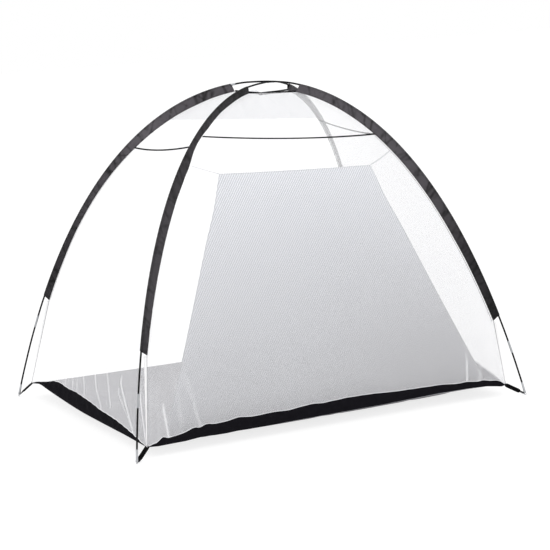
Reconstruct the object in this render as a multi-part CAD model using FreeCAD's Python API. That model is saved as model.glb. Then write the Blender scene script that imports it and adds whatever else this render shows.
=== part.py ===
"""Golf chipping net: a dome tent of white mesh on two crossed shock-corded poles.

Millimetres, +Z up.  The origin is on the ground in the middle of the four pole feet.
The open side that the ball comes in through faces -Y.  The upper pole runs from the
front right foot to the rear left foot, the lower pole from the front left foot to the
rear right foot.  Every solid of parts/NODE.step is one real piece of the product.
"""
import FreeCAD, Part
import math
import os

V = FreeCAD.Vector
UP = V(0, 0, 1)

# Overall size
FOOT_SPAN_X = 2000.0          # between pole feet, left to right
FOOT_SPAN_Y = 1500.0          # between pole feet, front to back
CROWN_Z = 1520.0              # centre line of the upper pole where the poles cross
CROWN_SHIFT_X = -50.0         # the crossing stands a little towards the left side

# Poles
POLE_D = 8.4
POLE_BORE_D = 4.8
POLE_GAP = 0.6                # between the two poles where they cross
UPPER_PITCH = 397.9           # ferrule centre to ferrule centre, upper pole
LOWER_PITCH = 408.3           # the same, lower pole
FERRULES_PER_POLE = 10
FERRULE_LEN = 60.0
FERRULE_D = 10.2
FERRULE_BORE_D = 8.7
FERRULE_LIP_D = 10.9
FERRULE_LIP_LEN = 2.5
SECTION_END_GAP = 0.3         # between two pole sections inside a ferrule
SHOCK_CORD_D = 3.2
LEG_STRAIGHT = 6.0            # a pole runs straight this far above its foot tip

# How a pole bends: reach and lean of its lower half, length of its flat top
BEND_REACH = 1521.0
UPPER_LEAN = math.radians(75.1)
LOWER_LEAN = math.radians(83.8)
BEND_TOP = 200.0

# Foot tips and corner pins
TIP_START = 12.5              # lower end of the tip, along the pole from the ground
TIP_LEN = 52.0
TIP_D = 10.4
TIP_FOOT_D = 12.0
TIP_FOOT_LEN = 6.0
PIN_BORE_D = 5.6
PIN_BORE_LEN = 22.0
PIN_D = 5.2
PIN_LEN = 20.0
PIN_NOSE = 1.0                # chamfer at the upper end of the pin
PIN_COLLAR_D = 9.0
PIN_COLLAR_LEN = 1.8
PIN_SEAT_GAP = 0.1
EYE_R = 4.4                   # middle of the wire
EYE_WIRE_D = 2.4
RING_R = 11.0
RING_WIRE_D = 2.2
LINK_GAP = 0.2                # between linked wires

# Corner straps: a doubled piece of webbing round the ring
STRAP_W = 18.0
STRAP_THICK = 2.4
STRAP_LAYER = 1.2
STRAP_SLACK = 0.4             # round the ring's wire
STRAP_ROUND = 1.12            # radius of the folded end, in half widths of the strap
STRAP_END_GAP = 0.5

# Sleeves
SLEEVE_R = 7.2
SLEEVE_BORE_R = 6.6
SEAM_AT = 29.0                # seam edge of the sleeve from the pole's centre line
SEAM_FLANGE = 2.5
SEAM_HALF = 0.8
SLEEVE_SLANT = 19.0           # the seam side of the lower end hangs lower by this
SLEEVE_TOP_SLANT = 13.0
SLEEVE_STEP = 75.0
SLEEVE_SPARE = 60.0           # the sleeve is drawn this much too long, then cut at a slant

# Net
NET_THICK = 0.6
NET_INSET_FRONT = 72.0        # net corner from the foot, along the diagonal
NET_INSET_REAR = 94.0
NET_CORNER_FRONT_Z = 66.0
NET_CORNER_REAR_Z = 50.0
NET_GAP = 0.5                 # cloth edge to the seam edge that carries it
NET_SIDE = 1.2                # cloth beside the middle plane of a seam
BINDING_H = 7.0
BINDING_THICK = 1.6
BINDING_SAG = 15.0
TAPE_W = 13.0
TAPE_THICK = 1.2
TAPE_SLANT = 4.0              # the outer edge of a tape starts lower by this
TAPE_END_W = 2.0
TAPE_TOP_GAP = 1.0
TAPE_END_GAP = 1.5
CLEAR = 0.4

# Base: how far the edges bow in and how high they hang half way along
BOW_SIDE = 12.0
BOW_BACK = 10.0
BOW_FRONT = 22.0
MID_Z_SIDE = 46.0
MID_Z_BACK = 52.0
MID_Z_FRONT = 62.0
SKIRT_THICK = 1.0
SKIRT_END = 0.02              # a skirt starts this share of its side from the corner
SKIRT_COLUMNS = 25
SKIRT_WAVES = 4.5             # slow waves of its upper edge between two corners
SKIRT_WAVE = 0.04             # how far they rise and dip, as a share of its height
FLOOR_THICK = 0.8
FLOOR_FLAT = 0.24             # share of the half width and half depth that lies on the ground
FLOOR_RISE = 4.4              # power by which it then rises to its edges
FLOOR_GAP = 0.5               # the floor's edge lies this far inside the skirts
RIDGE_END = 40.0              # the ridge under the panel goes on past the panel by this

# Hitting panel
PANEL_FOOT_Y = 645.0
PANEL_FOOT_Z = 56.0
PANEL_FOOT_X = -16.0          # middle of the panel's foot
PANEL_FOOT_HALF = 836.0
PANEL_TOP_RIGHT = V(373, 391, 1162)
PANEL_TOP_LEFT = V(-402, 400, 1126)
PANEL_THICK = 0.6
PANEL_LIFT = 0.6              # the floor's ridge lies this far under the panel's foot
TIE_D = 2.6
TIE_STOP = 6.0                # a tie runs at a slant on to the mesh beside the seam
TIE_ASIDE = 0.5               # and this far in front of the panel's middle plane
TIE_Z = {"rear_right": 1222.0, "rear_left": 1182.0}   # where a tie is sewn to the leg's seam

# Crown
CROWN_KNOT = V(-50, 0, 1463)  # where the four crown tapes meet
CROWN_TAPE_H = 11.0
CROWN_TAPE_THICK = 1.4
CROWN_KNOT_R = 10.0
GORE_STOP = 16.0              # the gores stop this short of the knot

# Corners: sign of x, sign of y, pole that stands there
CORNERS = {
    "front_right": (1, -1, "upper"),
    "rear_right": (1, 1, "lower"),
    "rear_left": (-1, 1, "upper"),
    "front_left": (-1, -1, "lower"),
}
SLEEVE_FROM = {"front_right": 538.0, "rear_right": 491.0, "rear_left": 406.0, "front_left": 490.0}
SLEEVE_SHORT = {"front_right": 145.0, "rear_right": 143.0, "rear_left": 190.0, "front_left": 315.0}

# Height of the roof line on each leg's seam, by side
ROOF_LINE = {
    "right": {"front_right": 1222.0, "rear_right": 1300.0},
    "back": {"rear_right": 1334.0, "rear_left": 1258.0},
    "left": {"rear_left": 1258.0, "front_left": 1262.0},
    "front": {"front_left": 1272.0, "front_right": 1350.0},
}
# Height of a skirt above its base edge, by share of the way along it
SKIRT_FROM_FRONT = ((0.0, 0.0), (0.08, 14.0), (0.15, 42.0), (0.23, 68.0), (0.4, 80.0),
                    (0.6, 64.0), (0.8, 42.0), (0.92, 20.0), (1.0, 0.0))
SKIRT_FROM_RIGHT = ((0.0, 0.0), (0.04, 34.0), (0.12, 53.0), (0.25, 62.0), (0.53, 69.0),
                    (0.65, 58.0), (0.8, 43.0), (0.93, 36.0), (0.98, 28.0), (1.0, 0.0))
SIDES = {
    "right": ("front_right", "rear_right"),
    "back": ("rear_right", "rear_left"),
    "left": ("rear_left", "front_left"),
    "front": ("front_left", "front_right"),
}


def save(name, solids):
    """Write the solids of one node, after checking each of them."""
    solids = solids if isinstance(solids, list) else [solids]
    for solid in solids:
        if not solid.isValid() or solid.Volume <= 0:
            raise RuntimeError("bad solid in " + name)
    shape = solids[0] if len(solids) == 1 else Part.makeCompound(solids)
    shape.exportStep(os.path.join("parts", name + ".step"))
    volume = sum(solid.Volume for solid in solids)
    print("%-34s solids %3d  volume %12.1f mm3" % (name, len(solids), volume))


def unit(v):
    """The vector at length one."""
    return v * (1.0 / v.Length)


def mix(a, b, k):
    """The point at fraction k from a to b."""
    return a * (1.0 - k) + b * k


def one(shape):
    """The single solid of a boolean result."""
    solids = shape.Solids
    if len(solids) != 1:
        raise RuntimeError("expected one solid, got %d" % len(solids))
    return solids[0]


# Pole routes


def foot(corner):
    sx, sy, _ = CORNERS[corner]
    return V(sx * FOOT_SPAN_X / 2, sy * FOOT_SPAN_Y / 2, 0)


def crown(corner):
    upper = CORNERS[corner][2] == "upper"
    return V(CROWN_SHIFT_X, 0, CROWN_Z if upper else CROWN_Z - POLE_D - POLE_GAP)


def inward(corner):
    """Level direction from the foot to the crossing."""
    way = crown(corner) - foot(corner)
    return unit(V(way.x, way.y, 0))


def leg_route(corner):
    """Points of the pole's centre line from the foot to the crossing, a cubic curve."""
    lean = UPPER_LEAN if CORNERS[corner][2] == "upper" else LOWER_LEAN
    start, end = foot(corner), crown(corner)
    low = start + (inward(corner) * math.cos(lean) + UP * math.sin(lean)) * BEND_REACH
    high = end + unit(foot(corner)) * BEND_TOP
    points = []
    for i in range(401):
        t = i / 400.0
        points.append(start * (1 - t) ** 3 + low * (3 * (1 - t) ** 2 * t)
                      + high * (3 * (1 - t) * t ** 2) + end * t ** 3)
    return points


class Route:
    """A polyline that is asked for its point and direction by distance."""

    def __init__(self, points):
        self.points = points
        self.at_point = [0.0]
        for a, b in zip(points, points[1:]):
            self.at_point.append(self.at_point[-1] + (b - a).Length)
        self.length = self.at_point[-1]

    def index(self, s):
        low, high = 0, len(self.points) - 2
        while low < high:
            mid = (low + high + 1) // 2
            if self.at_point[mid] <= s:
                low = mid
            else:
                high = mid - 1
        return low

    def point(self, s):
        i = self.index(s)
        span = self.at_point[i + 1] - self.at_point[i]
        return mix(self.points[i], self.points[i + 1], (s - self.at_point[i]) / span)

    def way(self, s, half=4.0):
        a = self.point(max(0.0, s - half))
        b = self.point(min(self.length, s + half))
        return unit(b - a)


LEGS = {corner: Route(leg_route(corner)) for corner in CORNERS}


def leg_frame(corner, s):
    """Point, direction up the pole, direction in to the tent and direction to the side."""
    leg = LEGS[corner]
    point, along = leg.point(s), leg.way(s)
    level = inward(corner)
    into = level * along.z - UP * along.dot(level)
    into = unit(into - along * into.dot(along))
    return point, along, into, along.cross(into)


def arc_pair(p0, t0, p1, t1):
    """Two arcs from p0 along t0 to p1 along t1 that share their tangent where they meet."""
    v = p1 - p0
    a = 2.0 * (1.0 - t0.dot(t1))
    b = v.dot(t0 + t1)
    c = v.dot(v)
    d = c / (2.0 * b) if a < 1e-9 else (-b + math.sqrt(b * b + a * c)) / a
    q0, q1 = p0 + t0 * d, p1 - t1 * d
    joint = mix(q0, q1, 0.5)
    return [tangent_arc(p0, t0, joint), tangent_arc(p1, t1 * -1.0, joint)]


def tangent_arc(p, t, q):
    """Arc that leaves p along t and ends in q; a line where it is all but straight."""
    chord = q - p
    side = chord - t * chord.dot(t)
    if side.Length < 1e-4:
        return Part.LineSegment(p, q).toShape()
    normal = unit(side)
    radius = chord.dot(chord) / (2.0 * chord.dot(normal))
    centre = p + normal * radius
    middle = centre + unit(mix(p, q, 0.5) - centre) * radius
    return Part.Arc(p, middle, q).toShape()


def line(p, q):
    return Part.LineSegment(p, q).toShape()


def circle_wire(centre, axis, radius):
    return Part.Wire([Part.Circle(centre, axis, radius).toShape()])


def pipe(edges, start, way, radius):
    """Round bar along a path that starts in start along way."""
    wire = Part.Wire(Part.__sortEdges__(edges))
    solid = wire.makePipeShell([circle_wire(start, way, radius)], True, False)
    solid = solid.Solids[0] if solid.Solids else Part.Solid(solid)
    if solid.Volume < 0:
        solid = solid.reversed()
    expected = math.pi * radius * radius * wire.Length
    if abs(solid.Volume / expected - 1.0) > 0.005:
        raise RuntimeError("pipe volume is off: %.4f" % (solid.Volume / expected))
    return solid


def rod(start, way, length, radius):
    return Part.makeCylinder(radius, length, start, way)


def stations(first, last, step):
    """Evenly spaced distances from first to last, no further apart than step."""
    count = max(2, int(math.ceil((last - first) / step)) + 1)
    return [first + (last - first) * i / (count - 1) for i in range(count)]


# Poles, ferrules and shock cords


def make_pole(which, start_corner, end_corner, pitch):
    """Sections, ferrules and cord of one pole, from its first foot to its last."""
    points = leg_route(start_corner) + list(reversed(leg_route(end_corner)))[1:]
    route = Route(points)
    shoulder = TIP_START + PIN_BORE_LEN
    straight = TIP_START + TIP_LEN + LEG_STRAIGHT
    start_foot, end_foot = foot(start_corner), foot(end_corner)
    start_way = LEGS[start_corner].way(30.0)
    end_way = LEGS[end_corner].way(30.0) * -1.0
    marks = [(start_foot, start_way)]
    for i in range(1, FERRULES_PER_POLE + 1):
        marks.append((route.point(pitch * i), route.way(pitch * i)))
    marks.append((end_foot, end_way))
    ends = [0.0] + [pitch * i for i in range(1, FERRULES_PER_POLE + 1)] + [route.length]
    crossing = LEGS[start_corner].length
    half = FERRULE_LEN / 2
    last = FERRULES_PER_POLE
    cord_edges = []
    ferrules = []
    for i in range(last + 1):
        (p0, t0), (p1, t1) = marks[i], marks[i + 1]
        run0 = straight if i == 0 else half
        run1 = straight if i == last else half
        stop0 = shoulder + CLEAR if i == 0 else SECTION_END_GAP / 2
        stop1 = shoulder + CLEAR if i == last else SECTION_END_GAP / 2
        knot_at = (ends[i] + ends[i + 1]) / 2
        if ends[i] < crossing < ends[i + 1]:
            knot_at = crossing
        knot, knot_way = route.point(knot_at), route.way(knot_at)
        bends = arc_pair(p0 + t0 * run0, t0, knot, knot_way)
        bends += arc_pair(knot, knot_way, p1 - t1 * run1, t1)
        a, b = p0 + t0 * stop0, p1 - t1 * stop1
        edges = [line(a, p0 + t0 * run0)] + bends + [line(p1 - t1 * run1, b)]
        outside = pipe(edges, a, t0, POLE_D / 2)
        inside = pipe(edges, a, t0, POLE_BORE_D / 2)
        save("%s_pole_section_%02d" % (which, i + 1), one(outside.cut(inside)))
        cord_a = a if i == 0 else p0
        cord_b = b if i == last else p1
        cord_edges += [line(cord_a, p0 + t0 * run0)] + bends + [line(p1 - t1 * run1, cord_b)]
        if i < last:
            ferrules.append(make_ferrule(p1, t1))
    cord_start = marks[0][0] + marks[0][1] * (shoulder + CLEAR)
    save(which + "_pole_shock_cord", pipe(cord_edges, cord_start, start_way, SHOCK_CORD_D / 2))
    print("%s pole length %.1f" % (which, route.length))
    return ferrules


def make_ferrule(centre, way):
    """Metal tube over the ends of two pole sections, with a rolled lip at each end."""
    low = centre - way * (FERRULE_LEN / 2)
    body = rod(low, way, FERRULE_LEN, FERRULE_D / 2)
    for start in (low, low + way * (FERRULE_LEN - FERRULE_LIP_LEN)):
        body = body.fuse(rod(start, way, FERRULE_LIP_LEN, FERRULE_LIP_D / 2))
    return one(body.cut(rod(low, way, FERRULE_LEN, FERRULE_BORE_D / 2)))


def make_tip(corner):
    """Foot tip: upper bore for the pole, narrower lower bore for the corner pin."""
    start, way = foot(corner), LEGS[corner].way(30.0)
    low = start + way * TIP_START
    body = rod(low, way, TIP_LEN, TIP_D / 2).fuse(rod(low, way, TIP_FOOT_LEN, TIP_FOOT_D / 2))
    body = body.cut(rod(low, way, PIN_BORE_LEN, PIN_BORE_D / 2))
    shoulder = low + way * PIN_BORE_LEN
    return one(body.cut(rod(shoulder, way, TIP_LEN - PIN_BORE_LEN, FERRULE_BORE_D / 2)))


# Corner pins, rings and straps


def net_corner(corner):
    """Where two sides of the net meet the floor, inside its foot."""
    point = foot(corner)
    rear = CORNERS[corner][1] > 0
    inset = NET_INSET_REAR if rear else NET_INSET_FRONT
    return point - unit(point) * inset + UP * (NET_CORNER_REAR_Z if rear else NET_CORNER_FRONT_Z)


def link_frame(corner):
    """Eye centre, pin direction, direction of the strap, level side and strap's normal."""
    way = LEGS[corner].way(30.0)
    eye = foot(corner) + way * ((EYE_R + EYE_WIRE_D / 2) / way.z)
    toward = unit(net_corner(corner) - eye)
    side = unit(way.cross(toward))
    return eye, way, toward, side, toward.cross(side)


def ring_near(corner):
    """Middle of the ring's wire where it pulls on the eye."""
    eye, _, toward, _, _ = link_frame(corner)
    return eye + toward * (EYE_R - EYE_WIRE_D / 2 - RING_WIRE_D / 2 - LINK_GAP)


def make_pin(corner):
    """Pin that the foot tip stands on, with a collar and an eye for the ring."""
    eye, way, _, side, _ = link_frame(corner)
    seat = foot(corner) + way * (TIP_START - PIN_SEAT_GAP)
    collar = rod(seat - way * PIN_COLLAR_LEN, way, PIN_COLLAR_LEN, PIN_COLLAR_D / 2)
    shaft = rod(seat, way, PIN_LEN - PIN_NOSE, PIN_D / 2)
    nose_start = seat + way * (PIN_LEN - PIN_NOSE)
    nose = Part.makeCone(PIN_D / 2, PIN_D / 2 - PIN_NOSE, PIN_NOSE, nose_start, way)
    loop = Part.makeTorus(EYE_R, EYE_WIRE_D / 2, eye, side)
    return one(collar.fuse([shaft, nose, loop]))


def make_ring(corner):
    _, _, toward, _, normal = link_frame(corner)
    return Part.makeTorus(RING_R, RING_WIRE_D / 2, ring_near(corner) + toward * RING_R, normal)


def make_strap(corner):
    """Webbing folded round the ring and sewn together up to the net corner."""
    _, _, toward, side, normal = link_frame(corner)
    bar = ring_near(corner) + toward * (2 * RING_R)
    half = STRAP_W / 2
    rise = RING_R - math.sqrt(RING_R ** 2 - half ** 2)
    free = RING_WIRE_D / 2 + STRAP_SLACK
    slot_near = -rise - free
    slot_far = free
    end = (net_corner(corner) - bar).Length - STRAP_END_GAP
    place = FreeCAD.Matrix(toward.x, side.x, normal.x, bar.x,
                           toward.y, side.y, normal.y, bar.y,
                           toward.z, side.z, normal.z, bar.z,
                           0, 0, 0, 1)

    def stadium(near, far, radius):
        block = Part.makeBox(far - near, STRAP_W, 2 * radius, V(near, -half, -radius))
        for x in (near, far):
            block = block.fuse(Part.makeCylinder(radius, STRAP_W, V(x, -half, 0), V(0, 1, 0)))
        return block

    loop = stadium(slot_near + free, slot_far - free, free + STRAP_LAYER)
    flat = Part.makeBox(end - slot_far, STRAP_W, STRAP_THICK, V(slot_far, -half, -STRAP_THICK / 2))
    webbing = loop.fuse(flat).cut(stadium(slot_near + free, slot_far - free, free))
    near = slot_near - STRAP_LAYER
    turn = half * STRAP_ROUND
    round_end = Part.makeCylinder(turn, STRAP_W, V(near + turn, 0, -half))
    rest = Part.makeBox(end, 2 * turn, STRAP_W, V(near + turn, -turn, -half))
    webbing = webbing.common(round_end.fuse(rest).removeSplitter())
    webbing.Placement = FreeCAD.Placement(place)
    return one(webbing)


# Sleeves


def sleeve_profile(corner, s, radius, seam, half):
    """Closed teardrop: round on the pole's outer side, lines to the seam edge."""
    point, _, into, side = leg_frame(corner, s)

    def at(a, b):
        return point + into * a + side * b

    reach = math.hypot(seam, half)
    turn = math.acos(radius / reach) + math.atan2(half, seam)
    touch = (radius * math.cos(turn), radius * math.sin(turn))
    quarter = (turn + math.pi) / 2
    bulge = (radius * math.cos(quarter), radius * math.sin(quarter))
    edges = [line(at(seam, half), at(*touch)),
             Part.Arc(at(*touch), at(*bulge), at(-radius, 0)).toShape(),
             Part.Arc(at(-radius, 0), at(bulge[0], -bulge[1]), at(touch[0], -touch[1])).toShape(),
             line(at(touch[0], -touch[1]), at(seam, -half)),
             line(at(seam, -half), at(seam, half))]
    return Part.Wire(edges)


def cut_box(corner, s, slant, keep_up):
    """Block that takes away what lies beyond an end of the sleeve."""
    point, along, into, side = leg_frame(corner, s)
    width = SEAM_AT + SLEEVE_R
    face = unit(into * width + along * slant)
    normal = face.cross(side) if face.cross(side).dot(along) > 0 else side.cross(face)
    normal = normal * (-1.0 if keep_up else 1.0)
    start = point - into * SLEEVE_R
    size = 4 * SLEEVE_SPARE
    block = Part.makeBox(size, size, size, V(-size / 2, -size / 2, 0))
    block.Placement = FreeCAD.Placement(start, FreeCAD.Rotation(V(0, 0, 1), normal))
    return block


def sleeve_span(corner):
    return SLEEVE_FROM[corner], LEGS[corner].length - SLEEVE_SHORT[corner]


def make_sleeve(corner):
    """Cloth tunnel round the pole, sewn flat along its inner edge."""
    low, high = sleeve_span(corner)
    spots = stations(low - SLEEVE_SPARE, high + SLEEVE_SPARE, SLEEVE_STEP)
    outside = [sleeve_profile(corner, s, SLEEVE_R, SEAM_AT, SEAM_HALF) for s in spots]
    inside = [sleeve_profile(corner, s, SLEEVE_BORE_R, SEAM_AT - SEAM_FLANGE, 0.1) for s in spots]
    body = Part.makeLoft(outside, True, False).cut(Part.makeLoft(inside, True, False))
    body = body.cut(cut_box(corner, low, -SLEEVE_SLANT, True))
    body = body.cut(cut_box(corner, high, SLEEVE_TOP_SLANT, False))
    return one(body)


def seam_point(corner, s, out=0.0):
    """Point on the line where the net hangs from the sleeve."""
    point, _, into, _ = leg_frame(corner, s)
    return point + into * (SEAM_AT - out)


def seam_low(corner):
    """Lower inner end of the sleeve."""
    low, _ = sleeve_span(corner)
    return seam_point(corner, low - SLEEVE_SLANT)


def seam_high(corner):
    """Upper inner end of the sleeve."""
    _, high = sleeve_span(corner)
    return seam_point(corner, high + SLEEVE_TOP_SLANT)


# Net surfaces


def ruled(a, b, c, d):
    """Face between the line from a to b and the line from d to c."""
    normal = (c - a).cross(d - b)
    if normal.Length > 1e-9 and abs((b - a).dot(unit(normal))) < 1e-7:
        return Part.Face(Part.makePolygon([a, b, c, d, a]))
    return Part.makeRuledSurface(line(a, b), line(d, c))


def plate(columns, span):
    """One flat face over a block of cells of a grid of points."""
    i0, i1, j0, j1 = span
    ring = [columns[i][j0] for i in range(i0, i1)]
    ring += [columns[i1][j] for j in range(j0, j1)]
    ring += [columns[i][j1] for i in range(i1, i0, -1)]
    ring += [columns[i0][j] for j in range(j1, j0, -1)]
    return Part.Face(Part.makePolygon(ring + ring[:1]))


def cloth(columns, thick, toward, straight=False, flat=(0, 0, 0, 0)):
    """Thin solid on a grid of points; toward is the side that the cloth grows to.
    The block of cells named by flat, from column to column and row to row, is level."""
    rows = len(columns[0])
    backs = []
    for i, column in enumerate(columns):
        before = columns[max(0, i - 1)]
        after = columns[min(len(columns) - 1, i + 1)]
        back = []
        for j, point in enumerate(column):
            along = column[min(rows - 1, j + 1)] - column[max(0, j - 1)]
            normal = unit(along.cross(after[j] - before[j]))
            if normal.dot(toward) < 0:
                normal = normal * -1.0
            back.append(point + (toward if straight else normal) * thick)
        backs.append(back)
    faces = []
    area = 0.0
    for i in range(len(columns) - 1):
        a, b, c, d = columns[i], columns[i + 1], backs[i], backs[i + 1]
        for j in range(rows - 1):
            if not (flat[0] <= i < flat[1] and flat[2] <= j < flat[3]):
                faces.append(ruled(a[j], a[j + 1], b[j + 1], b[j]))
                faces.append(ruled(c[j], c[j + 1], d[j + 1], d[j]))
            across = (a[j + 1] - b[j]).cross(b[j + 1] - a[j]) * 0.5
            area += abs(across.dot(toward)) if straight else across.Length
        for j in (0, rows - 1):
            faces.append(ruled(a[j], c[j], d[j], b[j]))
    for i in (0, len(columns) - 1):
        for j in range(rows - 1):
            faces.append(ruled(columns[i][j], columns[i][j + 1], backs[i][j + 1], backs[i][j]))
    if flat[1] > flat[0]:
        faces += [plate(columns, flat), plate(backs, flat)]
    solid = Part.Solid(Part.Shell(faces))
    if solid.Volume < 0:
        solid = solid.reversed()
    if abs(solid.Volume / (area * thick) - 1.0) > 0.04:
        raise RuntimeError("cloth volume is off: %.4f" % (solid.Volume / (area * thick)))
    return solid


def side_out(side):
    """Outward direction of a side of the tent."""
    return {"right": V(1, 0, 0), "left": V(-1, 0, 0), "back": V(0, 1, 0), "front": V(0, -1, 0)}[side]


def edge_line(corner, side):
    """Line that a side's net hangs on at one corner, from the net corner to the knot."""
    low = sleeve_span(corner)[0] - SLEEVE_SLANT
    high = sleeve_span(corner)[1] + SLEEVE_TOP_SLANT
    first, second = SIDES[side]
    other = second if corner == first else first
    away = unit(V(*(foot(other) - foot(corner))))
    _, _, _, side_way = leg_frame(corner, low)
    if side_way.dot(away) < 0:
        side_way = side_way * -1.0
    points = []
    start, top = net_corner(corner), seam_low(corner)
    for k in (0.0, 0.25, 0.5, 0.75):
        points.append(mix(start, top, k))
    for s in stations(low, high, SLEEVE_STEP):
        points.append(seam_point(corner, s, -NET_GAP))
    end = points[-1]
    stop = (CROWN_KNOT - end).Length - GORE_STOP
    way = unit(CROWN_KNOT - end)
    for k in (0.34, 0.67, 1.0):
        points.append(end + way * (stop * k))
    return [p + side_way * NET_SIDE for p in points]


def route_from_height(route, z):
    """Distance along a rising route where it reaches a height."""
    for i, point in enumerate(route.points):
        if point.z >= z:
            a, b = route.points[i - 1], point
            return route.at_point[i - 1] + (b - a).Length * (z - a.z) / (b.z - a.z)
    raise RuntimeError("height not reached")


class Side:
    """The ruled surface between two corner lines, asked for points by u and height share."""

    def __init__(self, name):
        self.name = name
        self.first, self.second = SIDES[name]
        self.routes = [Route(edge_line(c, name)) for c in (self.first, self.second)]
        self.roof = [route_from_height(r, ROOF_LINE[name][c])
                     for r, c in zip(self.routes, (self.first, self.second))]

    def wall(self, u, k, drop=0.0):
        """Point between the two lines at share k of the way up to the roof line."""
        points = []
        for route, roof in zip(self.routes, self.roof):
            points.append(route.point(min(route.length, max(0.0, roof * k + drop))))
        return mix(points[0], points[1], u)

    def roof_point(self, u, k, lift):
        """Point above the roof line, k from 0 on the line to 1 at the crown."""
        points = []
        for route, roof in zip(self.routes, self.roof):
            low = roof + lift
            points.append(route.point(low + (route.length - low) * k))
        return mix(points[0], points[1], u)


def sag(u):
    return 4.0 * u * (1.0 - u)


def base_edge(name, u):
    """Edge of the base between two net corners."""
    bow = {"right": BOW_SIDE, "left": BOW_SIDE, "back": BOW_BACK, "front": BOW_FRONT}[name]
    mid = {"right": MID_Z_SIDE, "left": MID_Z_SIDE, "back": MID_Z_BACK, "front": MID_Z_FRONT}[name]
    start, end = [net_corner(corner) for corner in SIDES[name]]
    hang = (start.z + end.z) / 2 - mid
    return mix(start, end, u) - side_out(name) * (bow * sag(u)) - UP * (hang * sag(u))


def skirt_height(name, u):
    """Height of the skirt above the base edge: nothing at the corners, wavy along the top."""
    if name == "left":
        u = 1.0 - u
    marks = SKIRT_FROM_RIGHT if name == "back" else SKIRT_FROM_FRONT
    for (u0, h0), (u1, h1) in zip(marks, marks[1:]):
        if u <= u1:
            height = h0 + (h1 - h0) * (u - u0) / (u1 - u0)
            break
    return height * (1.0 + SKIRT_WAVE * math.sin(2 * math.pi * SKIRT_WAVES * u + 0.6))


def wall_height(surface, u, z):
    """Share of the wall at which a ruling of the surface reaches a height."""
    low, high = 0.0, 1.0
    for _ in range(40):
        mid = (low + high) / 2
        if surface.wall(u, mid).z < z:
            low = mid
        else:
            high = mid
    return low


def net_columns(first_u, last_u, count):
    """Evenly spaced shares of the way between two corners."""
    return [first_u + (last_u - first_u) * i / (count - 1) for i in range(count)]


def make_wall(surface):
    """Mesh from the skirt's top edge to the roof line."""
    columns = []
    for u in [0.0] + net_columns(SKIRT_END, 1.0 - SKIRT_END, SKIRT_COLUMNS) + [1.0]:
        bottom_z = base_edge(surface.name, u).z + skirt_height(surface.name, u) + NET_GAP
        low = wall_height(surface, u, bottom_z)
        roof_mean = sum(surface.roof) / 2
        high = 1.0 - (BINDING_SAG * sag(u) + BINDING_H / 2 + CLEAR) / roof_mean
        columns.append([surface.wall(u, low + (high - low) * j / 13.0) for j in range(14)])
    return cloth(columns, NET_THICK, side_out(surface.name))


def make_gore(surface):
    """Roof panel from the roof line up to the crown tapes."""
    columns = []
    for u in net_columns(0.0, 1.0, 9):
        if surface.name == "front":
            lift = 0.0
        else:
            lift = BINDING_H / 2 + CLEAR - BINDING_SAG * sag(u)
        columns.append([surface.roof_point(u, j / 9.0, lift) for j in range(10)])
    return cloth(columns, NET_THICK, side_out(surface.name) + UP)


def make_binding(surface):
    """Black piping between a wall and its gore."""
    columns = []
    roof_mean = sum(surface.roof) / 2
    for u in net_columns(0.004, 0.996, 11):
        drop = BINDING_SAG * sag(u)
        lower = surface.wall(u, 1.0 - (drop + BINDING_H / 2) / roof_mean)
        upper = surface.wall(u, 1.0, BINDING_H / 2 - drop)
        columns.append([lower, mix(lower, upper, 0.5), upper])
    return cloth(columns, BINDING_THICK, side_out(surface.name) + UP * 0.3)


def make_skirt(surface):
    """Solid cloth below a wall, from the base edge up to the wall's lower edge."""
    columns = []
    for u in net_columns(SKIRT_END, 1.0 - SKIRT_END, SKIRT_COLUMNS):
        base = base_edge(surface.name, u)
        height = skirt_height(surface.name, u)
        top = surface.wall(u, wall_height(surface, u, base.z + height))
        columns.append([mix(base, top, j / 3.0) for j in range(4)])
    return cloth(columns, SKIRT_THICK, side_out(surface.name))


def make_tape(corner):
    """Seam tape from the sleeve's lower end to the net corner."""
    _, _, _, side = leg_frame(corner, sleeve_span(corner)[0])
    top, low = seam_low(corner), net_corner(corner)
    way = unit(low - top)
    out = unit(way.cross(side))
    if out.dot(inward(corner)) > 0:
        out = out * -1.0
    start = top + way * TAPE_TOP_GAP
    end = low - way * TAPE_END_GAP
    ring = [start, start + out * TAPE_W + way * TAPE_SLANT, end + out * TAPE_END_W, end]
    face = Part.Face(Part.makePolygon([p - side * (TAPE_THICK / 2) for p in ring + ring[:1]]))
    return one(face.extrude(side * TAPE_THICK))


# Floor, hitting panel and ties


def floor_grid(x_share, y_share):
    """Point of the floor by its shares of the way across, each from -1 to 1."""
    u = (x_share + 1) / 2
    w = (y_share + 1) / 2
    front = base_edge("front", u)
    back = base_edge("back", 1 - u)
    left = base_edge("left", 1 - w)
    right = base_edge("right", w)
    plain = (mix(front, back, w) + mix(left, right, u)
             - mix(mix(net_corner("front_left"), net_corner("front_right"), u),
                   mix(net_corner("rear_left"), net_corner("rear_right"), u), w))
    flat = 1.0
    for share in (x_share, y_share):
        flat *= 1.0 - max(0.0, (abs(share) - FLOOR_FLAT) / (1.0 - FLOOR_FLAT)) ** FLOOR_RISE
    return V(plain.x, plain.y, plain.z + (FLOOR_THICK - plain.z) * flat)


def panel_ridge(x_share):
    """Share of the way back at which the floor passes under the panel's foot."""
    low, high = 0.5, 1.0
    for _ in range(40):
        mid = (low + high) / 2
        if floor_grid(x_share, mid).y < PANEL_FOOT_Y:
            low = mid
        else:
            high = mid
    return low


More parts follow.
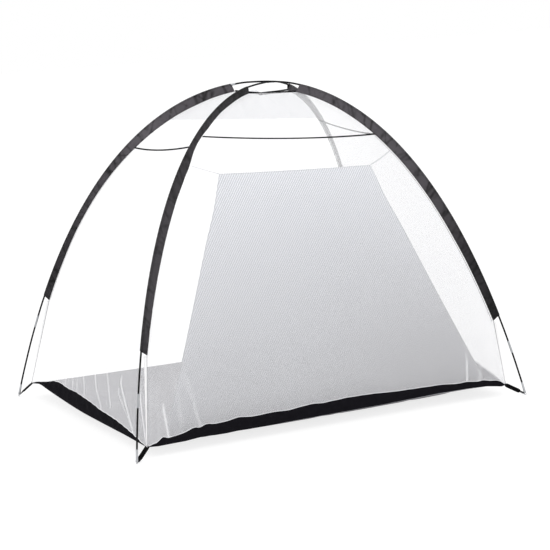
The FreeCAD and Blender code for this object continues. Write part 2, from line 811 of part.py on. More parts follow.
def make_floor():
    """Ground sheet: flat in the middle, drawn up at its edges and under the panel."""
    x_end = 1.0 - FLOOR_GAP / net_corner("rear_right").x
    half = [FLOOR_FLAT / 2, FLOOR_FLAT, 0.36, 0.48, 0.6, 0.72, 0.82, 0.9, 0.96, x_end]
    shares = [-x for x in reversed(half)] + [0.0] + half
    y_end = 1.0 - FLOOR_GAP / net_corner("rear_right").y
    low_ys = [-y_end, -0.95, -0.88, -0.78, -0.64, -0.5, -0.37]
    ys = low_ys + [-FLOOR_FLAT, 0.0, FLOOR_FLAT, 0.37, 0.5, 0.64, 0.76, 0.85]
    ridge_z = PANEL_FOOT_Z - PANEL_LIFT
    columns = []
    for x_share in shares:
        ridge = panel_ridge(x_share)
        column = [floor_grid(x_share, y) for y in ys]
        under = floor_grid(x_share, ridge)
        if abs(under.x - PANEL_FOOT_X) < PANEL_FOOT_HALF + RIDGE_END:
            under = V(under.x, PANEL_FOOT_Y, ridge_z)
        column.append(under)
        column.append(floor_grid(x_share, y_end))
        columns.append(column)
    x_low, y_low = shares.index(-FLOOR_FLAT), ys.index(-FLOOR_FLAT)
    level = (x_low, shares.index(FLOOR_FLAT), y_low, ys.index(FLOOR_FLAT))
    return cloth(columns, FLOOR_THICK, V(0, 0, -1), True, level)


def make_panel():
    """Hitting panel: a trapezoid of close cloth that leans in from the back of the floor."""
    behind = V(0, PANEL_THICK / 2, 0)
    low_left = V(PANEL_FOOT_X - PANEL_FOOT_HALF, PANEL_FOOT_Y, PANEL_FOOT_Z) + behind
    low_right = V(PANEL_FOOT_X + PANEL_FOOT_HALF, PANEL_FOOT_Y, PANEL_FOOT_Z) + behind
    columns = []
    for u in net_columns(0.0, 1.0, 5):
        low, high = mix(low_left, low_right, u), mix(PANEL_TOP_LEFT, PANEL_TOP_RIGHT, u) + behind
        columns.append([mix(low, high, j / 4.0) for j in range(5)])
    return cloth(columns, PANEL_THICK, V(0, -1, 0))


def make_tie(top, corner):
    """Cord from a top corner of the panel to the seam of the rear leg beside it."""
    end = None
    for s in stations(*sleeve_span(corner), 2.0):
        point = seam_point(corner, s)
        if end is None or abs(point.z - TIE_Z[corner]) < abs(end.z - TIE_Z[corner]):
            end = point
    gap = (end - top).Length
    way = unit(end - top)
    start = top + way * CLEAR - V(0, TIE_ASIDE, 0)
    length = gap - CLEAR - TIE_STOP
    print("tie at %s: length %.1f" % (corner, length))
    return rod(start, way, length, TIE_D / 2)


# Crown


def make_crown():
    """Four tapes from the sleeves' upper ends to the knot under the crossing."""
    body = Part.makeCylinder(CROWN_KNOT_R, CROWN_TAPE_H, CROWN_KNOT - UP * (CROWN_TAPE_H / 2))
    for corner in CORNERS:
        end = seam_high(corner)
        way = unit(CROWN_KNOT - end)
        start = end + way * 1.2
        side = unit(way.cross(UP))
        high = unit(side.cross(way))
        a = start - high * (CROWN_TAPE_H / 2) - side * (CROWN_TAPE_THICK / 2)
        b = CROWN_KNOT - high * (CROWN_TAPE_H / 2) - side * (CROWN_TAPE_THICK / 2)
        face = Part.Face(Part.makePolygon([a, b, b + high * CROWN_TAPE_H, a + high * CROWN_TAPE_H, a]))
        body = body.fuse(face.extrude(side * CROWN_TAPE_THICK))
    return one(body.removeSplitter())


def main():
    os.makedirs("parts", exist_ok=True)
    ferrules = make_pole("upper", "front_right", "rear_left", UPPER_PITCH)
    ferrules += make_pole("lower", "front_left", "rear_right", LOWER_PITCH)
    save("pole_ferrules", ferrules)
    save("pole_foot_tips", [make_tip(corner) for corner in CORNERS])
    for corner in CORNERS:
        save("corner_pin_" + corner, make_pin(corner))
        save("corner_ring_" + corner, make_ring(corner))
        save("corner_strap_" + corner, make_strap(corner))
        save("pole_sleeve_" + corner, make_sleeve(corner))
    save("corner_seam_tapes", [make_tape(corner) for corner in CORNERS])
    save("crown_tapes", make_crown())
    surfaces = {name: Side(name) for name in SIDES}
    bindings = []
    for name, surface in surfaces.items():
        save("roof_gore_" + name, make_gore(surface))
        if name == "front":
            continue
        save("net_wall_" + name, make_wall(surface))
        save("base_skirt_" + name, make_skirt(surface))
        bindings.append(make_binding(surface))
    save("roof_line_bindings", bindings)
    save("floor_sheet", make_floor())
    save("hitting_panel", make_panel())
    save("panel_tie_left", make_tie(PANEL_TOP_LEFT, "rear_left"))
    save("panel_tie_right", make_tie(PANEL_TOP_RIGHT, "rear_right"))


main()
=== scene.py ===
"""Golf chipping net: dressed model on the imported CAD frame, in metres, +Z up, open front to -Y."""
import math

import bpy
import numpy as np
from mathutils import Matrix


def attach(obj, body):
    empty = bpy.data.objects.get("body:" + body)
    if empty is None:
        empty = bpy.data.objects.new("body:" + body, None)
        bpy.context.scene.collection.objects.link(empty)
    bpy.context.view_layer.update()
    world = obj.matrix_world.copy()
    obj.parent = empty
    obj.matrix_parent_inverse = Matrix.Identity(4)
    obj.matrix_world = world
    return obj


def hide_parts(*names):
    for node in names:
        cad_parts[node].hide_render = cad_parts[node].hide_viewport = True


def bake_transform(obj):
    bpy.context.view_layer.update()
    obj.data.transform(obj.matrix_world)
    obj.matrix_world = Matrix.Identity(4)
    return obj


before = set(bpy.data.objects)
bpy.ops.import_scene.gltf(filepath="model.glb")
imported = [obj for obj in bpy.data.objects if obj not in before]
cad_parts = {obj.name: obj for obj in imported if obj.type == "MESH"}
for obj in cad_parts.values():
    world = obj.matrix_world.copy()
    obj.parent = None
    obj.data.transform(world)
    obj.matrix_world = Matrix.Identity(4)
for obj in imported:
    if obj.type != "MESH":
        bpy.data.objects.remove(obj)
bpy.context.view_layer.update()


# Camera, ground and light.
# The net stands on a plain white ground and is seen from behind its rear right corner,
# a little from above. Soft light comes from all round, with one broad lamp overhead.
PLACE = np.array([4.1729, 8.5861, 2.3618])
TURN, DIP, ROLL = math.radians(26.335), math.radians(-10.5017), math.radians(-2.7128)
FOCAL_PX, PHOTO_PX, SENSOR = 2024.33, 550.0, 36.0


def aim():
    """Camera axes: forward from turn and dip, level right, up across both, then rolled."""
    ct, st, cd, sd = math.cos(TURN), math.sin(TURN), math.cos(DIP), math.sin(DIP)
    forward = np.array([-st * cd, -ct * cd, sd])
    level = np.array([-ct, st, 0.0])
    up = np.cross(level, forward)
    right = math.cos(ROLL) * level + math.sin(ROLL) * up
    up = -math.sin(ROLL) * level + math.cos(ROLL) * up
    return right, up, -forward


camera_data = bpy.data.cameras.new("camera")
camera_data.sensor_width = SENSOR
camera_data.lens = SENSOR * FOCAL_PX / PHOTO_PX
camera = bpy.data.objects.new("camera", camera_data)
bpy.context.scene.collection.objects.link(camera)
axes = Matrix.Identity(4)
for column, axis in enumerate(aim()):
    for row in range(3):
        axes[row][column] = float(axis[row])
axes.translation = PLACE.tolist()
camera.matrix_world = axes
bpy.context.scene.camera = camera
bpy.context.scene.view_settings.view_transform = "Standard"


def tone(red, green, blue):
    """Linear colour of a display colour from 0 to 255, by the sRGB curve."""
    c = np.array([red, green, blue]) / 255.0
    linear = np.where(c <= 0.04045, c / 12.92, ((c + 0.055) / 1.055) ** 2.4)
    return (*linear.tolist(), 1.0)


def grid_mesh(name, points, uv=None, close_across=False, cap=False):
    """Mesh object from points[i, j] on a grid, quads between neighbours, wound i before j.
    close_across joins the last column to the first; cap fills the first and last rows."""
    rows, cols = points.shape[:2]
    index = np.arange(rows * cols).reshape(rows, cols)
    right = np.roll(index, -1, axis=1)
    stop = cols if close_across else cols - 1
    quads = np.stack([index[:-1, :stop], right[:-1, :stop],
                      right[1:, :stop], index[1:, :stop]], axis=-1).reshape(-1, 4)
    faces = quads.tolist()
    if cap:
        faces += [index[0, ::-1].tolist(), index[-1].tolist()]
    mesh = bpy.data.meshes.new(name)
    mesh.from_pydata(points.reshape(-1, 3).tolist(), [], faces)
    if uv is not None:
        layer = mesh.uv_layers.new(name="UVMap")
        corner = np.empty(len(mesh.loops), dtype=np.int32)
        mesh.loops.foreach_get("vertex_index", corner)
        layer.data.foreach_set("uv", uv.reshape(-1, 2)[corner].astype(np.float32).ravel())
    mesh.polygons.foreach_set("use_smooth", np.ones(len(mesh.polygons), dtype=bool))
    mesh.update()
    piece = bpy.data.objects.new(name, mesh)
    bpy.context.scene.collection.objects.link(piece)
    return piece


def material(name):
    """New node material; returns it with its node tree and its Principled shader."""
    made = bpy.data.materials.new(name)
    made.use_nodes = True
    return made, made.node_tree, made.node_tree.nodes["Principled BSDF"]


def feed(tree, node, links):
    """Feeds a node's sockets from other sockets or plain values."""
    for key, source in links.items():
        if isinstance(source, bpy.types.NodeSocket):
            tree.links.new(source, node.inputs[key])
        else:
            node.inputs[key].default_value = source


def add(tree, kind, links=None, **values):
    """Adds a node, sets its properties and feeds its sockets."""
    node = tree.nodes.new(kind)
    for key, value in values.items():
        setattr(node, key, value)
    feed(tree, node, links or {})
    return node


def maths(tree, operation, first, second=0.0):
    """Result of one step of arithmetic on sockets or numbers."""
    return add(tree, "ShaderNodeMath", {0: first, 1: second}, operation=operation).outputs[0]


def mixed(tree, share, first, second):
    """Colour between two colours, each a socket or a plain colour."""
    links = {"Factor": share, "A": first, "B": second}
    return add(tree, "ShaderNodeMix", links, data_type="RGBA").outputs["Result"]


def mapped(tree, value, low, high, to_low=0.0, to_high=1.0):
    """Value carried in a straight line from low..high to to_low..to_high, and held beyond them."""
    links = {"Value": value, "From Min": low, "From Max": high, "To Min": to_low, "To Max": to_high}
    return add(tree, "ShaderNodeMapRange", links).outputs[0]


def seen_directly(tree):
    """1 for what the camera sees, also by gloss or through glass; 0 for light on its way."""
    path = add(tree, "ShaderNodeLightPath").outputs
    seen = maths(tree, "MAXIMUM", path["Is Camera Ray"], path["Is Glossy Ray"])
    return maths(tree, "MAXIMUM", seen, path["Is Transmission Ray"])


def dress(piece, look):
    """Gives a piece one material in all of its slots."""
    piece.data.materials.clear()
    piece.data.materials.append(look)
    return piece


GROUND_REACH, GROUND_DROP = 20.0, 0.0005
GROUND_LIT, GROUND_SEEN, GROUND_GLOW = (0.86, 0.86, 0.86, 1.0), (0.28, 0.28, 0.28, 1.0), 0.79
SKY_GIVES, SKY_SHOWS = 1.02, 1.0
LAMP_POWER, LAMP_LONG, LAMP_WIDE = 45.0, 5.0, 4.0
LAMP_PLACE, LAMP_TURN = (1.2, 1.6, 4.6), (math.radians(-14.0), math.radians(12.0), 0.0)


def make_ground():
    """White ground. To the camera it is part cloth white and part glow, so that it is bright
    white and keeps a faint shadow; to the light that it throws back it is plain white."""
    span = np.linspace(-GROUND_REACH, GROUND_REACH, 3)
    x, y = np.meshgrid(span, span)
    ground = grid_mesh("ground", np.stack([x, y, np.full_like(x, -GROUND_DROP)], axis=-1))
    look, tree, shader = material("white ground")
    seen = seen_directly(tree)
    feed(tree, shader, {"Base Color": mixed(tree, seen, GROUND_LIT, GROUND_SEEN), "Roughness": 1.0,
                        "Specular IOR Level": 0.0, "Emission Color": (1, 1, 1, 1),
                        "Emission Strength": maths(tree, "MULTIPLY", seen, GROUND_GLOW)})
    dress(ground, look)


def make_light():
    """White surroundings for every ray, a little brighter as light than as seen, and one broad
    lamp overhead."""
    world = bpy.data.worlds.new("white studio")
    bpy.context.scene.world = world
    world.use_nodes = True
    tree = world.node_tree
    level = mapped(tree, seen_directly(tree), 0.0, 1.0, SKY_GIVES, SKY_SHOWS)
    feed(tree, tree.nodes["Background"], {"Color": (1, 1, 1, 1), "Strength": level})
    lamp_data = bpy.data.lights.new("overhead softbox", "AREA")
    lamp_data.shape = "RECTANGLE"
    lamp_data.size, lamp_data.size_y, lamp_data.energy = LAMP_LONG, LAMP_WIDE, LAMP_POWER
    lamp = bpy.data.objects.new("overhead softbox", lamp_data)
    lamp.location, lamp.rotation_euler = LAMP_PLACE, LAMP_TURN
    bpy.context.scene.collection.objects.link(lamp)


make_ground()
make_light()


# Pole sections.
# Two poles of eleven push-together fibreglass tubes each, painted satin black. The CAD
# tubes keep their shape and get a fine lengthwise grain and dull handling marks.
POLES, SECTIONS = ("upper", "lower"), 11
GRAIN_DEPTH = 0.0004


def new_group(name, given, made):
    """Node group with number sockets; returns it with the sockets to read and those to feed."""
    group = bpy.data.node_groups.new(name, "ShaderNodeTree")
    for way, sockets in (("INPUT", given), ("OUTPUT", made)):
        for socket in sockets:
            group.interface.new_socket(socket, in_out=way, socket_type="NodeSocketFloat")
    start, end = group.nodes.new("NodeGroupInput"), group.nodes.new("NodeGroupOutput")
    return group, start.outputs, end.inputs


def grain_group():
    """Group: stretched noise as a 0 to 1 mask, finer across Z than along it."""
    group, given, made = new_group("fine grain", ("Scale", "Stretch"), ("Mask",))
    place = add(group, "ShaderNodeTexCoord")
    squeeze = add(group, "ShaderNodeCombineXYZ", {0: 1.0, 1: 1.0, 2: given["Stretch"]})
    scaled = add(group, "ShaderNodeVectorMath", {0: place.outputs["Object"], 1: squeeze.outputs[0]},
                 operation="MULTIPLY")
    noise = add(group, "ShaderNodeTexNoise", {"Vector": scaled.outputs[0],
                                              "Scale": given["Scale"], "Detail": 4.0})
    group.links.new(noise.outputs["Fac"], made["Mask"])
    return group


GRAIN = grain_group()


def grained(name, dark, light, rough, scale, stretch, bump=0.1, metallic=0.0, gloss=0.5):
    """Material whose colour and roughness run between two values over the grain mask."""
    look, tree, shader = material(name)
    grain = add(tree, "ShaderNodeGroup", {"Scale": scale, "Stretch": stretch}, node_tree=GRAIN)
    mask = grain.outputs["Mask"]
    relief = add(tree, "ShaderNodeBump", {"Height": mask, "Strength": bump, "Distance": GRAIN_DEPTH})
    feed(tree, shader, {"Base Color": mixed(tree, mask, dark, light),
                        "Roughness": mapped(tree, mask, 0.0, 1.0, *rough),
                        "Normal": relief.outputs[0], "Metallic": metallic,
                        "Specular IOR Level": gloss})
    return look


FIBREGLASS = grained("satin black fibreglass", tone(7, 7, 8), tone(18, 18, 20), (0.4, 0.6),
                     240.0, 0.12, gloss=0.12)
for pole in POLES:
    for number in range(1, SECTIONS + 1):
        dress(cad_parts["%s_pole_section_%02d" % (pole, number)], FIBREGLASS)


# Ferrules and foot tips.
# Each joint of a pole has a drawn metal tube with rolled lips, and each foot a tip with
# a thicker end. Both are bright satin metal with faint lines from drawing.
DRAWN_METAL = grained("drawn satin metal", tone(150, 152, 155), tone(196, 198, 201), (0.28, 0.46),
                      420.0, 0.1, bump=0.08, metallic=1.0)
TIP_METAL = grained("plated tip metal", tone(158, 160, 163), tone(204, 205, 208), (0.22, 0.4),
                    300.0, 0.5, bump=0.08, metallic=1.0)
dress(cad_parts["pole_ferrules"], DRAWN_METAL)
dress(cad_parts["pole_foot_tips"], TIP_METAL)


# Corner pins and rings.
# The foot tip stands on a zinc-plated steel pin. Its eye carries a welded wire ring that
# the corner strap is folded round.
CORNERS = ("front_right", "rear_right", "rear_left", "front_left")
ZINC = grained("zinc plated steel", tone(160, 162, 166), tone(206, 207, 210), (0.2, 0.42),
               500.0, 1.0, bump=0.06, metallic=1.0)
for corner in CORNERS:
    dress(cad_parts["corner_pin_" + corner], ZINC)
    dress(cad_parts["corner_ring_" + corner], ZINC)


# Shock cords.
# One braided elastic cord runs through all the sections of each pole and pulls them
# together. It is hidden in the tubes.
ELASTIC = grained("black elastic cord", tone(20, 20, 20), tone(58, 58, 58), (0.7, 0.9),
                  900.0, 0.5, bump=0.4)
for pole in POLES:
    dress(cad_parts[pole + "_pole_shock_cord"], ELASTIC)


# Pole sleeves.
# Each leg runs through a tunnel of close black cloth, folded over the pole and sewn flat
# along its inner edge. The cloth is pulled in by the net and creases across its width.
FEET = {"front_right": np.array([1.0, -0.75, 0.0]), "rear_right": np.array([1.0, 0.75, 0.0]),
        "rear_left": np.array([-1.0, 0.75, 0.0]), "front_left": np.array([-1.0, -0.75, 0.0])}
UP = np.array([0.0, 0.0, 1.0])
UPPER = ("front_right", "rear_left")
CROWN_UPPER, CROWN_LOWER, CROWN_X = 1.520, 1.511, -0.050
BEND_REACH, BEND_TOP = 1.521, 0.200
LEAN_UPPER, LEAN_LOWER = math.radians(75.1), math.radians(83.8)
SLEEVE_FROM = {"front_right": 0.538, "rear_right": 0.491, "rear_left": 0.406, "front_left": 0.490}
SLEEVE_SHORT = {"front_right": 0.145, "rear_right": 0.143, "rear_left": 0.190, "front_left": 0.315}
SLANT_LOW, SLANT_HIGH = 0.019, 0.013
SLEEVE_R, SEAM_AT, SEAM_HALF, SLEEVE_IN, SLEEVE_T = 0.0070, 0.0290, 0.0007, 0.0012, 0.0004
CREASE_EVERY, CREASE_HIGH, WANDER_EVERY, WANDER_HIGH = 0.045, 0.0026, 0.11, 0.0012
TIE_PULL_AT, TIE_PULL_SPAN, TIE_PULL = 1.262, 0.028, {"rear_right": 0.004, "rear_left": 0.003}
NO_MARKS = ((0, 1), (0, 0))
SEAM_TURN = {"rear_right": ((0.45, 0.9, 1.2, 1.5, 1.8, 2.0), (13, 25, 33, 33, 20, 4))}
SEAM_WIDER = {
    "front_right": ((0.5, 0.73, 0.9, 1.1, 1.25, 1.4, 1.6, 1.8, 2.0),
                    (1.5, -1.0, -4.0, -3.0, 0.0, 5.0, 9.0, 11.0, 5.0)),
    "rear_right": ((0.45, 0.9, 1.1, 1.2, 1.37, 1.414, 1.463, 1.515, 1.571, 1.632, 1.775, 1.864, 2.0),
                   (9.5, 10.0, 9.5, 8.0, 8.0, 2.5, -5.0, -8.0, -6.5, -3.0, -4.0, -1.0, 0.0)),
    "rear_left": ((0.4, 0.57, 0.7, 0.82, 1.1, 1.6, 2.0), (4.0, 7.0, 8.5, 11.0, 12.0, 11.0, 5.0))}
# Painted light and shade along each sleeve, as distances along the pole and levels: above nought the cloth
# is painted paler where light from above falls on it, below nought painted darker where it lies in shade.
PAINTED_LIGHT_ALONG = {
    "front_right": ((0.56, 0.67, 0.78, 0.89, 1.0, 1.16, 1.3, 1.5, 1.57, 1.65, 2.1),
                    (-0.30, -0.25, -0.10, 0.03, 0.16, 0.25, 0.33, 0.66, 0.60, 0.45, 0.45)),
    "rear_left": ((0.45, 0.57, 0.69, 0.8, 0.9, 1.02, 1.13, 1.25, 1.45, 1.7, 2.1),
                  (-0.70, -0.45, -0.43, 0.0, 0.12, 0.24, 0.30, 0.38, 0.42, 0.48, 0.43)),
    "rear_right": ((0.5, 0.54, 0.6, 1.1, 1.3, 1.6, 1.7, 1.8, 1.95),
                   (-0.2, -0.05, 0.13, 0.12, 0.0, 0.0, -0.1, -0.28, -0.45)),
    "front_left": ((0.0, 1.0), (0.2, 0.2))}


def unit(v):
    """Vectors at length one."""
    return v / np.linalg.norm(v, axis=-1, keepdims=True)


def run_along(line):
    """Distance of each point of a line from its first point, along the line."""
    return np.concatenate([[0.0], np.cumsum(np.linalg.norm(np.diff(line, axis=0), axis=1))])


def at_run(s, run, line):
    """Points of a line at distances s, between the distances of its own points."""
    return np.stack([np.interp(s, run, line[:, k]) for k in range(3)], axis=-1)


def leg_line(corner):
    """Pole centre line from foot to crossing: a cubic curve, its first handle leaning in,
    its last handle level along the diagonal; with direction, inward and side unit vectors, the
    last two turned about the pole where the back wall draws the seam round."""
    foot = FEET[corner]
    top = np.array([CROWN_X, 0.0, CROWN_UPPER if corner in UPPER else CROWN_LOWER])
    lean = LEAN_UPPER if corner in UPPER else LEAN_LOWER
    level = unit((top - foot) * (1 - UP))
    low = foot + BEND_REACH * (math.cos(lean) * level + math.sin(lean) * UP)
    high = top + BEND_TOP * unit(foot)
    t = np.linspace(0.0, 1.0, 2001)[:, None]
    line = (1 - t) ** 3 * foot + 3 * (1 - t) ** 2 * t * low + 3 * (1 - t) * t ** 2 * high + t ** 3 * top
    way = unit(np.gradient(line, axis=0))
    into = way[:, 2:] * level - (way @ level)[:, None] * UP
    into = unit(into - (into * way).sum(axis=1, keepdims=True) * way)
    run, side = run_along(line), np.cross(way, into)
    turn = np.radians(np.interp(run, *SEAM_TURN.get(corner, NO_MARKS)))[:, None]
    into, side = np.cos(turn) * into - np.sin(turn) * side, np.sin(turn) * into + np.cos(turn) * side
    return {"s": run, "point": line, "way": way, "into": into, "side": side}


LEGS = {corner: leg_line(corner) for corner in CORNERS}


def leg_at(corner, s, key):
    """Value of a leg's table at distances s."""
    return at_run(s, LEGS[corner]["s"], LEGS[corner][key])


def seam_reach(corner, s):
    """Distance of the sleeve's seam from the pole's centre line, with its marks in millimetres."""
    return SEAM_AT + np.interp(s, *SEAM_WIDER.get(corner, NO_MARKS)) / 1000


def sleeve_span(corner):
    """Lower and upper end of the sleeve, as distances along the pole."""
    return SLEEVE_FROM[corner], LEGS[corner]["s"][-1] - SLEEVE_SHORT[corner]


def teardrop(count):
    """Closed profile (in, aside): round behind the pole, straight to the seam, flat seam edge."""
    reach = math.hypot(SEAM_AT, SEAM_HALF)
    turn = math.acos(SLEEVE_R / reach) + math.atan2(SEAM_HALF, SEAM_AT)
    touch = np.array([math.cos(turn), math.sin(turn)]) * SLEEVE_R
    sewn = np.array([SEAM_AT, SEAM_HALF])
    straight = np.linspace(0.0, 1.0, count)[:, None] * (touch - sewn) + sewn
    angle = np.linspace(turn, 2 * math.pi - turn, count)[1:-1]
    back = np.stack([np.cos(angle), np.sin(angle)], axis=1) * SLEEVE_R
    return np.concatenate([straight, back, straight[::-1] * [1, -1]])


def creases(s, across, seed, spacing, height, lean=0.0):
    """Sum of narrow ridges across the sleeve: each a bell curve in s whose middle slants with
    the distance from the seam, with seeded places, slants, widths and heights."""
    rng = np.random.default_rng(seed)
    total = np.zeros(np.broadcast(s, across).shape)
    for middle in np.arange(s.min(), s.max(), spacing):
        middle = middle + rng.uniform(-0.3, 0.3) * spacing
        slant, width = rng.uniform(-0.9, 0.9) + lean, rng.uniform(0.004, 0.010)
        size = height * rng.uniform(0.3, 1.0) * rng.choice([-0.6, 1.0])
        total = total + size * np.exp(-((s - middle - slant * across) / width) ** 2)
    return total


def weave_group():
    """Group: plain weave of a cloth from its UV in metres, as crossed waves of the given pitch,
    and a soft cloudy mask at 27 times the pitch."""
    group, given, made = new_group("plain weave", ("Pitch",), ("Height", "Cloud"))
    place = add(group, "ShaderNodeUVMap", uv_map="UVMap")
    turns = maths(group, "DIVIDE", 2 * math.pi, given["Pitch"])
    scaled = add(group, "ShaderNodeVectorMath", {0: place.outputs[0], "Scale": turns},
                 operation="SCALE").outputs[0]
    parts = add(group, "ShaderNodeSeparateXYZ", {0: scaled}).outputs
    warp, weft = (maths(group, "SINE", part) for part in parts[:2])
    noise = add(group, "ShaderNodeTexNoise", {"Vector": scaled, "Scale": 0.006, "Detail": 5.0})
    group.links.new(maths(group, "MULTIPLY", warp, weft), made["Height"])
    group.links.new(noise.outputs["Fac"], made["Cloud"])
    return group


def uv_parts(tree):
    """U and V of a piece's own map, in metres."""
    place = add(tree, "ShaderNodeUVMap", uv_map="UVMap")
    return add(tree, "ShaderNodeSeparateXYZ", {0: place.outputs[0]}).outputs[:2]


def stitch_group():
    """Group: a line of stitches beside the middle line of a strip's UV. It is 1 where the distance
    of U from At is under Half, broken along V into stitches of 3 mm with short gaps."""
    group, given, made = new_group("stitch line", ("At", "Half"), ("Mask",))
    across, along = uv_parts(group)
    off = maths(group, "SUBTRACT", maths(group, "ABSOLUTE", across), given["At"])
    soft = maths(group, "MULTIPLY", given["Half"], 0.6)
    line = mapped(group, maths(group, "ABSOLUTE", off), given["Half"], soft)
    dash = mapped(group, maths(group, "PINGPONG", along, 0.0015), 0.0001, 0.0004)
    group.links.new(maths(group, "MULTIPLY", line, dash), made["Mask"])
    return group


WEAVE = weave_group()
STITCHES = stitch_group()


def woven(name, dark, light, pitch, roughness=0.85, relief=0.2, gloss=0.3, painted=(), stitch=None):
    """Close cloth: cloudy colour between two tones and weave as fine relief. Painted lists point
    attributes and the tones that they bring in; stitch is its line's distance, half width and tone."""
    look, tree, shader = material(name)
    weave = add(tree, "ShaderNodeGroup", {"Pitch": pitch}, node_tree=WEAVE).outputs
    colour = mixed(tree, weave["Cloud"], dark, light)
    for attribute, shade in painted:
        depth = add(tree, "ShaderNodeAttribute", attribute_name=attribute)
        colour = mixed(tree, depth.outputs["Fac"], colour, shade)
    if stitch is not None:
        line = add(tree, "ShaderNodeGroup", {"At": stitch[0], "Half": stitch[1]}, node_tree=STITCHES)
        colour = mixed(tree, line.outputs["Mask"], colour, stitch[2])
    bump = add(tree, "ShaderNodeBump", {"Height": weave["Height"], "Strength": relief,
                                        "Distance": pitch * 0.3})
    feed(tree, shader, {"Base Color": colour, "Roughness": roughness, "Normal": bump.outputs[0],
                        "Specular IOR Level": gloss})
    return look


# Sleeve cloth with two painted tones: a paler one as painted light where light from above falls, and a near
# black one as painted shade.
SLEEVE_CLOTH = woven("close black sleeve cloth", tone(42, 39, 42), tone(60, 57, 61), 0.0011,
                     roughness=0.75, relief=0.3,
                     painted=(("painted_light_level", tone(112, 108, 113)), ("painted_shade", tone(8, 8, 9))))


def paint(piece, name, values):
    """Stores one number for each point of a piece, for its material to read."""
    layer = piece.data.attributes.new(name, "FLOAT", "POINT")
    layer.data.foreach_set("value", np.asarray(values, dtype=np.float32).ravel())


def paired(a, b):
    """Two grids of numbers, spread to one shape, as a grid of pairs."""
    return np.stack(np.broadcast_arrays(a, b), axis=-1)


def cloth_uv(points):
    """UV in metres: across from the middle of each row, up along the middle column."""
    step = np.linalg.norm(np.diff(points, axis=1), axis=-1)
    across = np.concatenate([np.zeros((len(points), 1)), np.cumsum(step, axis=1)], axis=1)
    return paired(across - across[:, -1:] / 2, run_along(points[:, points.shape[1] // 2])[:, None])


def cloth(name, points, look, thick=0.0, offset=0.0, uv=None, **shape):
    """Piece of cloth from its grid: mesh with its map in metres, material and thickness."""
    piece = dress(grid_mesh(name, points, cloth_uv(points) if uv is None else uv, **shape), look)
    if thick:
        wall = piece.modifiers.new("cloth thickness", "SOLIDIFY")
        wall.thickness, wall.offset = thick, offset
    return piece


def make_sleeve(corner, seed):
    """Teardrop profile carried up the leg; both ends slant, creases stand off its flat sides, and
    the panel's tie pulls the seam of a rear leg in. Its colour holds painted shade, darker along the
    creases, at its round back and seam and on lengths in shade, and painted light, paler on lengths lit from
    above."""
    low, high = sleeve_span(corner)
    profile = teardrop(9)
    share = np.linspace(0.0, 1.0, int((high - low) / 0.004))[:, None]
    inward = (profile[:, 0] + SLEEVE_R) / (SEAM_AT + SLEEVE_R)
    s = (low - SLANT_LOW * inward) + share * (high - low + (SLANT_LOW + SLANT_HIGH) * inward)
    into, aside = profile[None, :, 0], profile[None, :, 1]
    flat = np.clip(into / SEAM_AT, 0.0, 1.0)
    into = into + SLEEVE_IN * (1 - flat) + (seam_reach(corner, s) - SEAM_AT) * flat
    lift = (creases(s, into, seed, CREASE_EVERY, CREASE_HIGH) * (aside > 0)
            + creases(s, into, seed + 50, CREASE_EVERY, CREASE_HIGH) * (aside < 0))
    lift = lift * np.sin(math.pi * np.clip(flat * 0.9 + 0.06, 0, 1))
    wander = creases(s, into * 0, seed + 90, WANDER_EVERY, WANDER_HIGH) * flat
    pull = TIE_PULL.get(corner, 0.0) * np.exp(-((s - TIE_PULL_AT) / TIE_PULL_SPAN) ** 2) * flat
    points = (leg_at(corner, s, "point") + leg_at(corner, s, "into") * (into + pull)[..., None]
              + leg_at(corner, s, "side") * (aside + np.sign(aside) * lift + wander)[..., None])
    sleeve = cloth("sleeve_" + corner, points, SLEEVE_CLOTH, SLEEVE_T, 1.0,
                   paired(run_along(profile)[None, :], s), close_across=True)
    # Painted shade at the round back and the seam edge, in crease valleys and on shaded lengths; painted
    # light on lit lengths.
    edge = 0.35 * np.clip((0.12 - flat) / 0.12, 0, 1) + 0.3 * np.clip((flat - 0.85) / 0.15, 0, 1)
    painted_light_level = np.interp(s, *PAINTED_LIGHT_ALONG[corner])
    dark = 0.75 * np.clip(creases(s, into, seed + 30, 0.020, 1.0, -0.5), 0, 1) - lift / CREASE_HIGH
    paint(sleeve, "painted_light_level", np.clip(painted_light_level, 0, 1))
    paint(sleeve, "painted_shade", np.clip(dark, 0, 0.85) + edge - np.clip(painted_light_level, -1, 0))
    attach(sleeve, "net_and_poles")
    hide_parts("pole_sleeve_" + corner)


for seed, corner in enumerate(CORNERS, 11):
    make_sleeve(corner, seed)


# Corner seam tapes.
# Below each sleeve a folded white tape carries on down the seam to the net corner, where
# it is sewn to the floor and to the corner strap.
NET_INSET_FRONT, NET_INSET_REAR = 0.072, 0.094
NET_CORNER_FRONT_Z, NET_CORNER_REAR_Z = 0.066, 0.050
TAPE_THICK, TAPE_NARROW = 0.0012, 0.004
TAPE_BROAD = {"front_right": 0.0125, "rear_right": 0.0200, "rear_left": 0.0125, "front_left": 0.0125}
WHITE_TAPE = woven("white seam tape", tone(250, 250, 251), tone(254, 254, 254), 0.0010,
                   stitch=(0.0016, 0.0016, tone(80, 80, 85)))


def net_corner(corner):
    """Where two sides meet the floor: in from the foot along the diagonal, and raised."""
    foot, rear = FEET[corner], "rear" in corner
    return (foot - unit(foot) * (NET_INSET_REAR if rear else NET_INSET_FRONT)
            + UP * (NET_CORNER_REAR_Z if rear else NET_CORNER_FRONT_Z))


def seam_at(corner, s, gap=0.0):
    """The sleeve's seam at distances s along the pole, or a line the gap inside it."""
    reach = np.asarray(seam_reach(corner, s) + gap)[..., None]
    return leg_at(corner, s, "point") + leg_at(corner, s, "into") * reach


def seam_end(corner, top):
    """Inner corner of the sleeve's upper or lower end."""
    low, high = sleeve_span(corner)
    return seam_at(corner, high + SLANT_HIGH if top else low - SLANT_LOW)


